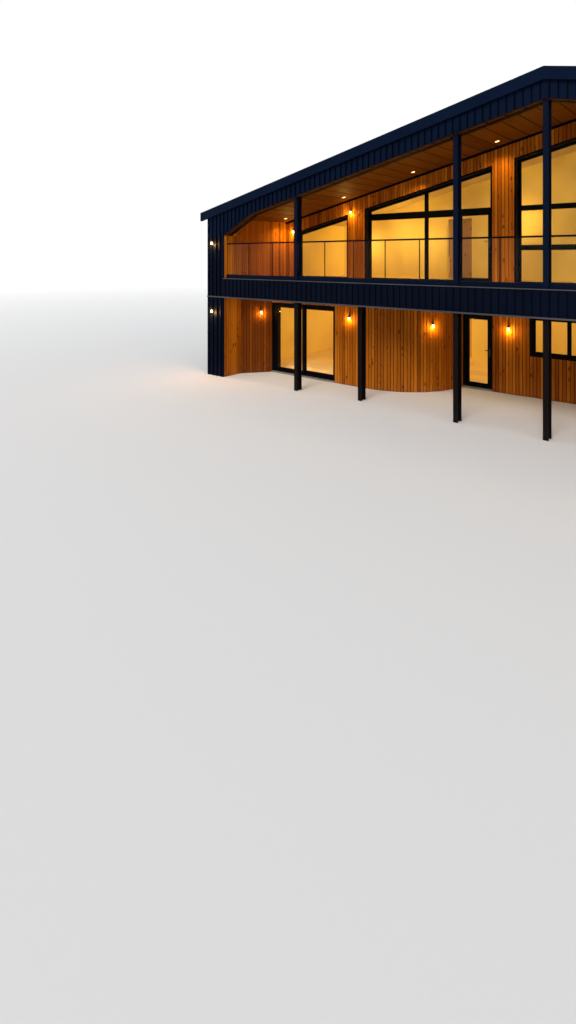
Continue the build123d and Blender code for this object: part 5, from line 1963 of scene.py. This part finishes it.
@dataclass
class Studio:
    """Camera, pale floor, soft light and white background."""

    eye: Colour = (3.43, -19.38, 3.66)
    turn: float = 40.59
    lens: float = 19.82
    sensor: float = 36.0
    shift: float = -0.248
    farthest: float = 500.0
    sky_colour: Colour = (0.93, 0.96, 1.0)
    ambient: float = 0.62
    sun_colour: Colour = (1.0, 0.97, 0.93)
    sun_power: float = 1.7
    sun_width: float = 25.0
    sun_tilt: float = 52.0
    sun_turn: float = 10.0
    floor_colour: Colour = (0.8, 0.8, 0.8)
    floor_size: float = 400.0
    floor_level: float = -0.002
    fade: Pair = (18.0, 60.0)

    def build(self) -> None:
        """Sets the studio up."""
        scene = bpy.context.scene
        camera = bpy.data.cameras.new("photo_camera")
        camera.lens, camera.sensor_width, camera.shift_y = self.lens, self.sensor, self.shift
        camera.clip_end = self.farthest
        scene.camera = self.hung(camera, tilt=90.0, turn=self.turn)
        scene.camera.location = self.eye
        scene.view_settings.view_transform = "Standard"
        self.sky()
        self.floor()
        sun = bpy.data.lights.new("key_light", "SUN")
        sun.energy, sun.angle, sun.color = self.sun_power, math.radians(self.sun_width), self.sun_colour
        self.hung(sun, tilt=self.sun_tilt, turn=self.sun_turn)

    def hung(self, data: bpy.types.ID, tilt: float, turn: float) -> bpy.types.Object:
        """Hangs a camera or a light in the scene.

        Args:
            data: The camera or the light.
            tilt: How far it looks up from straight down, in degrees.
            turn: How far it is turned to the left, in degrees.

        Returns:
            Its object.
        """
        holder = bpy.data.objects.new(data.name, data)
        holder.rotation_euler = (math.radians(tilt), 0, math.radians(turn))
        bpy.context.scene.collection.objects.link(holder)
        return holder

    def seen(self, web: Web) -> object:
        """Wires the share of rays that see the white background.

        Args:
            web: The nodes to wire it in.

        Returns:
            The share's socket.
        """
        path = web.add("ShaderNodeLightPath").outputs
        direct = web.calc("MAXIMUM", path["Is Camera Ray"], path["Is Glossy Ray"])
        return web.calc("MAXIMUM", direct, path["Is Transmission Ray"])

    def sky(self) -> None:
        """Makes the even light from all round, seen as white."""
        world = bpy.data.worlds.new("studio")
        world.use_nodes = True
        bpy.context.scene.world = world
        web = Web(world.node_tree)
        inputs = {"Color": opaque(self.sky_colour), "Strength": self.ambient}
        base = web.feed(web.tree.nodes["Background"], inputs)
        white = web.add("ShaderNodeBackground", {"Color": WHITE, "Strength": 1.0})
        web.show(self.seen(web), base.outputs[0], white.outputs[0], "World Output")

    def floor(self) -> None:
        """Makes the plain pale floor, which fades to white far away."""
        clear_selection()
        bpy.ops.mesh.primitive_plane_add(size=self.floor_size, location=(0, 0, self.floor_level))
        floor = bpy.context.active_object
        floor.name = "studio_floor"
        material = bpy.data.materials.new("studio_floor")
        material.use_nodes = True
        web = Web(material.node_tree)
        web.feed(web.shader, {"Base Color": opaque(self.floor_colour), "Roughness": 0.9})
        distance = web.add("ShaderNodeVectorMath", {0: web.coordinates()}, operation="LENGTH")
        share = web.times(web.span(distance.outputs["Value"], *self.fade), self.seen(web))
        glow = web.add("ShaderNodeEmission", {"Color": WHITE, "Strength": 1.0})
        web.show(share, web.shader.outputs[0], glow.outputs[0])
        floor.data.materials.append(material)


@dataclass(frozen=True)
class Glow:
    """Warm light of one kind of lamp, which points down."""

    name: str
    power: float
    kind: str = "POINT"
    colour: Colour = (1.0, 0.68, 0.16)
    radius: float = 0.06

    def add(self, place: Iterable[float]) -> bpy.types.Light:
        """Adds one light.

        Args:
            place: Where it is.

        Returns:
            The light's data.
        """
        light = bpy.data.lights.new(self.name, self.kind)
        light.energy, light.color, light.shadow_soft_size = self.power, self.colour, self.radius
        lamp = bpy.data.objects.new(self.name, light)
        lamp.location = place
        lamp.visible_camera = lamp.visible_transmission = False
        bpy.context.scene.collection.objects.link(lamp)
        return light


@dataclass
class LampLight:
    """Warm light that the switched-on lamps throw on the walls."""

    jar: Glow = Glow("jar_light", 13.0)
    jar_reach: float = 0.107
    pier_jar: Glow = Glow("jar_light", 46.8, colour=(1.0, 0.44, 0.1))
    pier_reach: float = 0.092
    downlight: Glow = Glow("downlight_light", 90.0, "SPOT")
    downlight_drop: float = 0.05
    cone: float = 130.0
    wash: Glow = Glow("room_wash", 21.0)
    wash_gap: float = 0.5
    washes: tuple[Pair, ...] = ((-8.5, 1.2), (-6.95, 1.7), (-5.95, 1.35), (-2.66, 1.9))

    def build(self) -> None:
        """Puts a light under each jar and each downlight, and a few in the upper rooms."""
        lamps, spots = WallLamps(), Downlights()
        for stand in lamps.stands():
            on_pier = math.isclose(stand.translation.y, FRONT)
            glow, reach = (self.pier_jar, self.pier_reach) if on_pier else (self.jar, self.jar_reach)
            glow.add(stand @ Vector((0, -reach, -lamps.height / 2)))
        for x in (side * spot for spot in spots.spots for side in (1, -1)):
            light = self.downlight.add((x, spots.line, roof(x, SOFFIT_DROP) - self.downlight_drop))
            light.spot_size, light.spot_blend = math.radians(self.cone), 1.0
        for x, height in self.washes:
            for side in (1, -1):
                self.wash.add((side * x, INNER_WALL_FRONT - self.wash_gap, DECK_TOP + height))


def main() -> None:
    """Builds the studio, then the house's looks piece by piece."""
    logging.basicConfig(level=logging.INFO, format="%(name)s %(message)s")
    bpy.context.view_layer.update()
    Studio().build()
    finish_nodes()
    kinds = (
        TimberFronts, TimberSoffits, MetalRibs, WallLamps, Downlights, Rooms, InnerDoors, GlazingSeals,
        BalustradeJoints, LampLight,
    )
    for kind in kinds:
        kind().build()
        log.info("%s is built", kind.__name__)
    clear_selection()


if __name__ == "__main__":
    main()
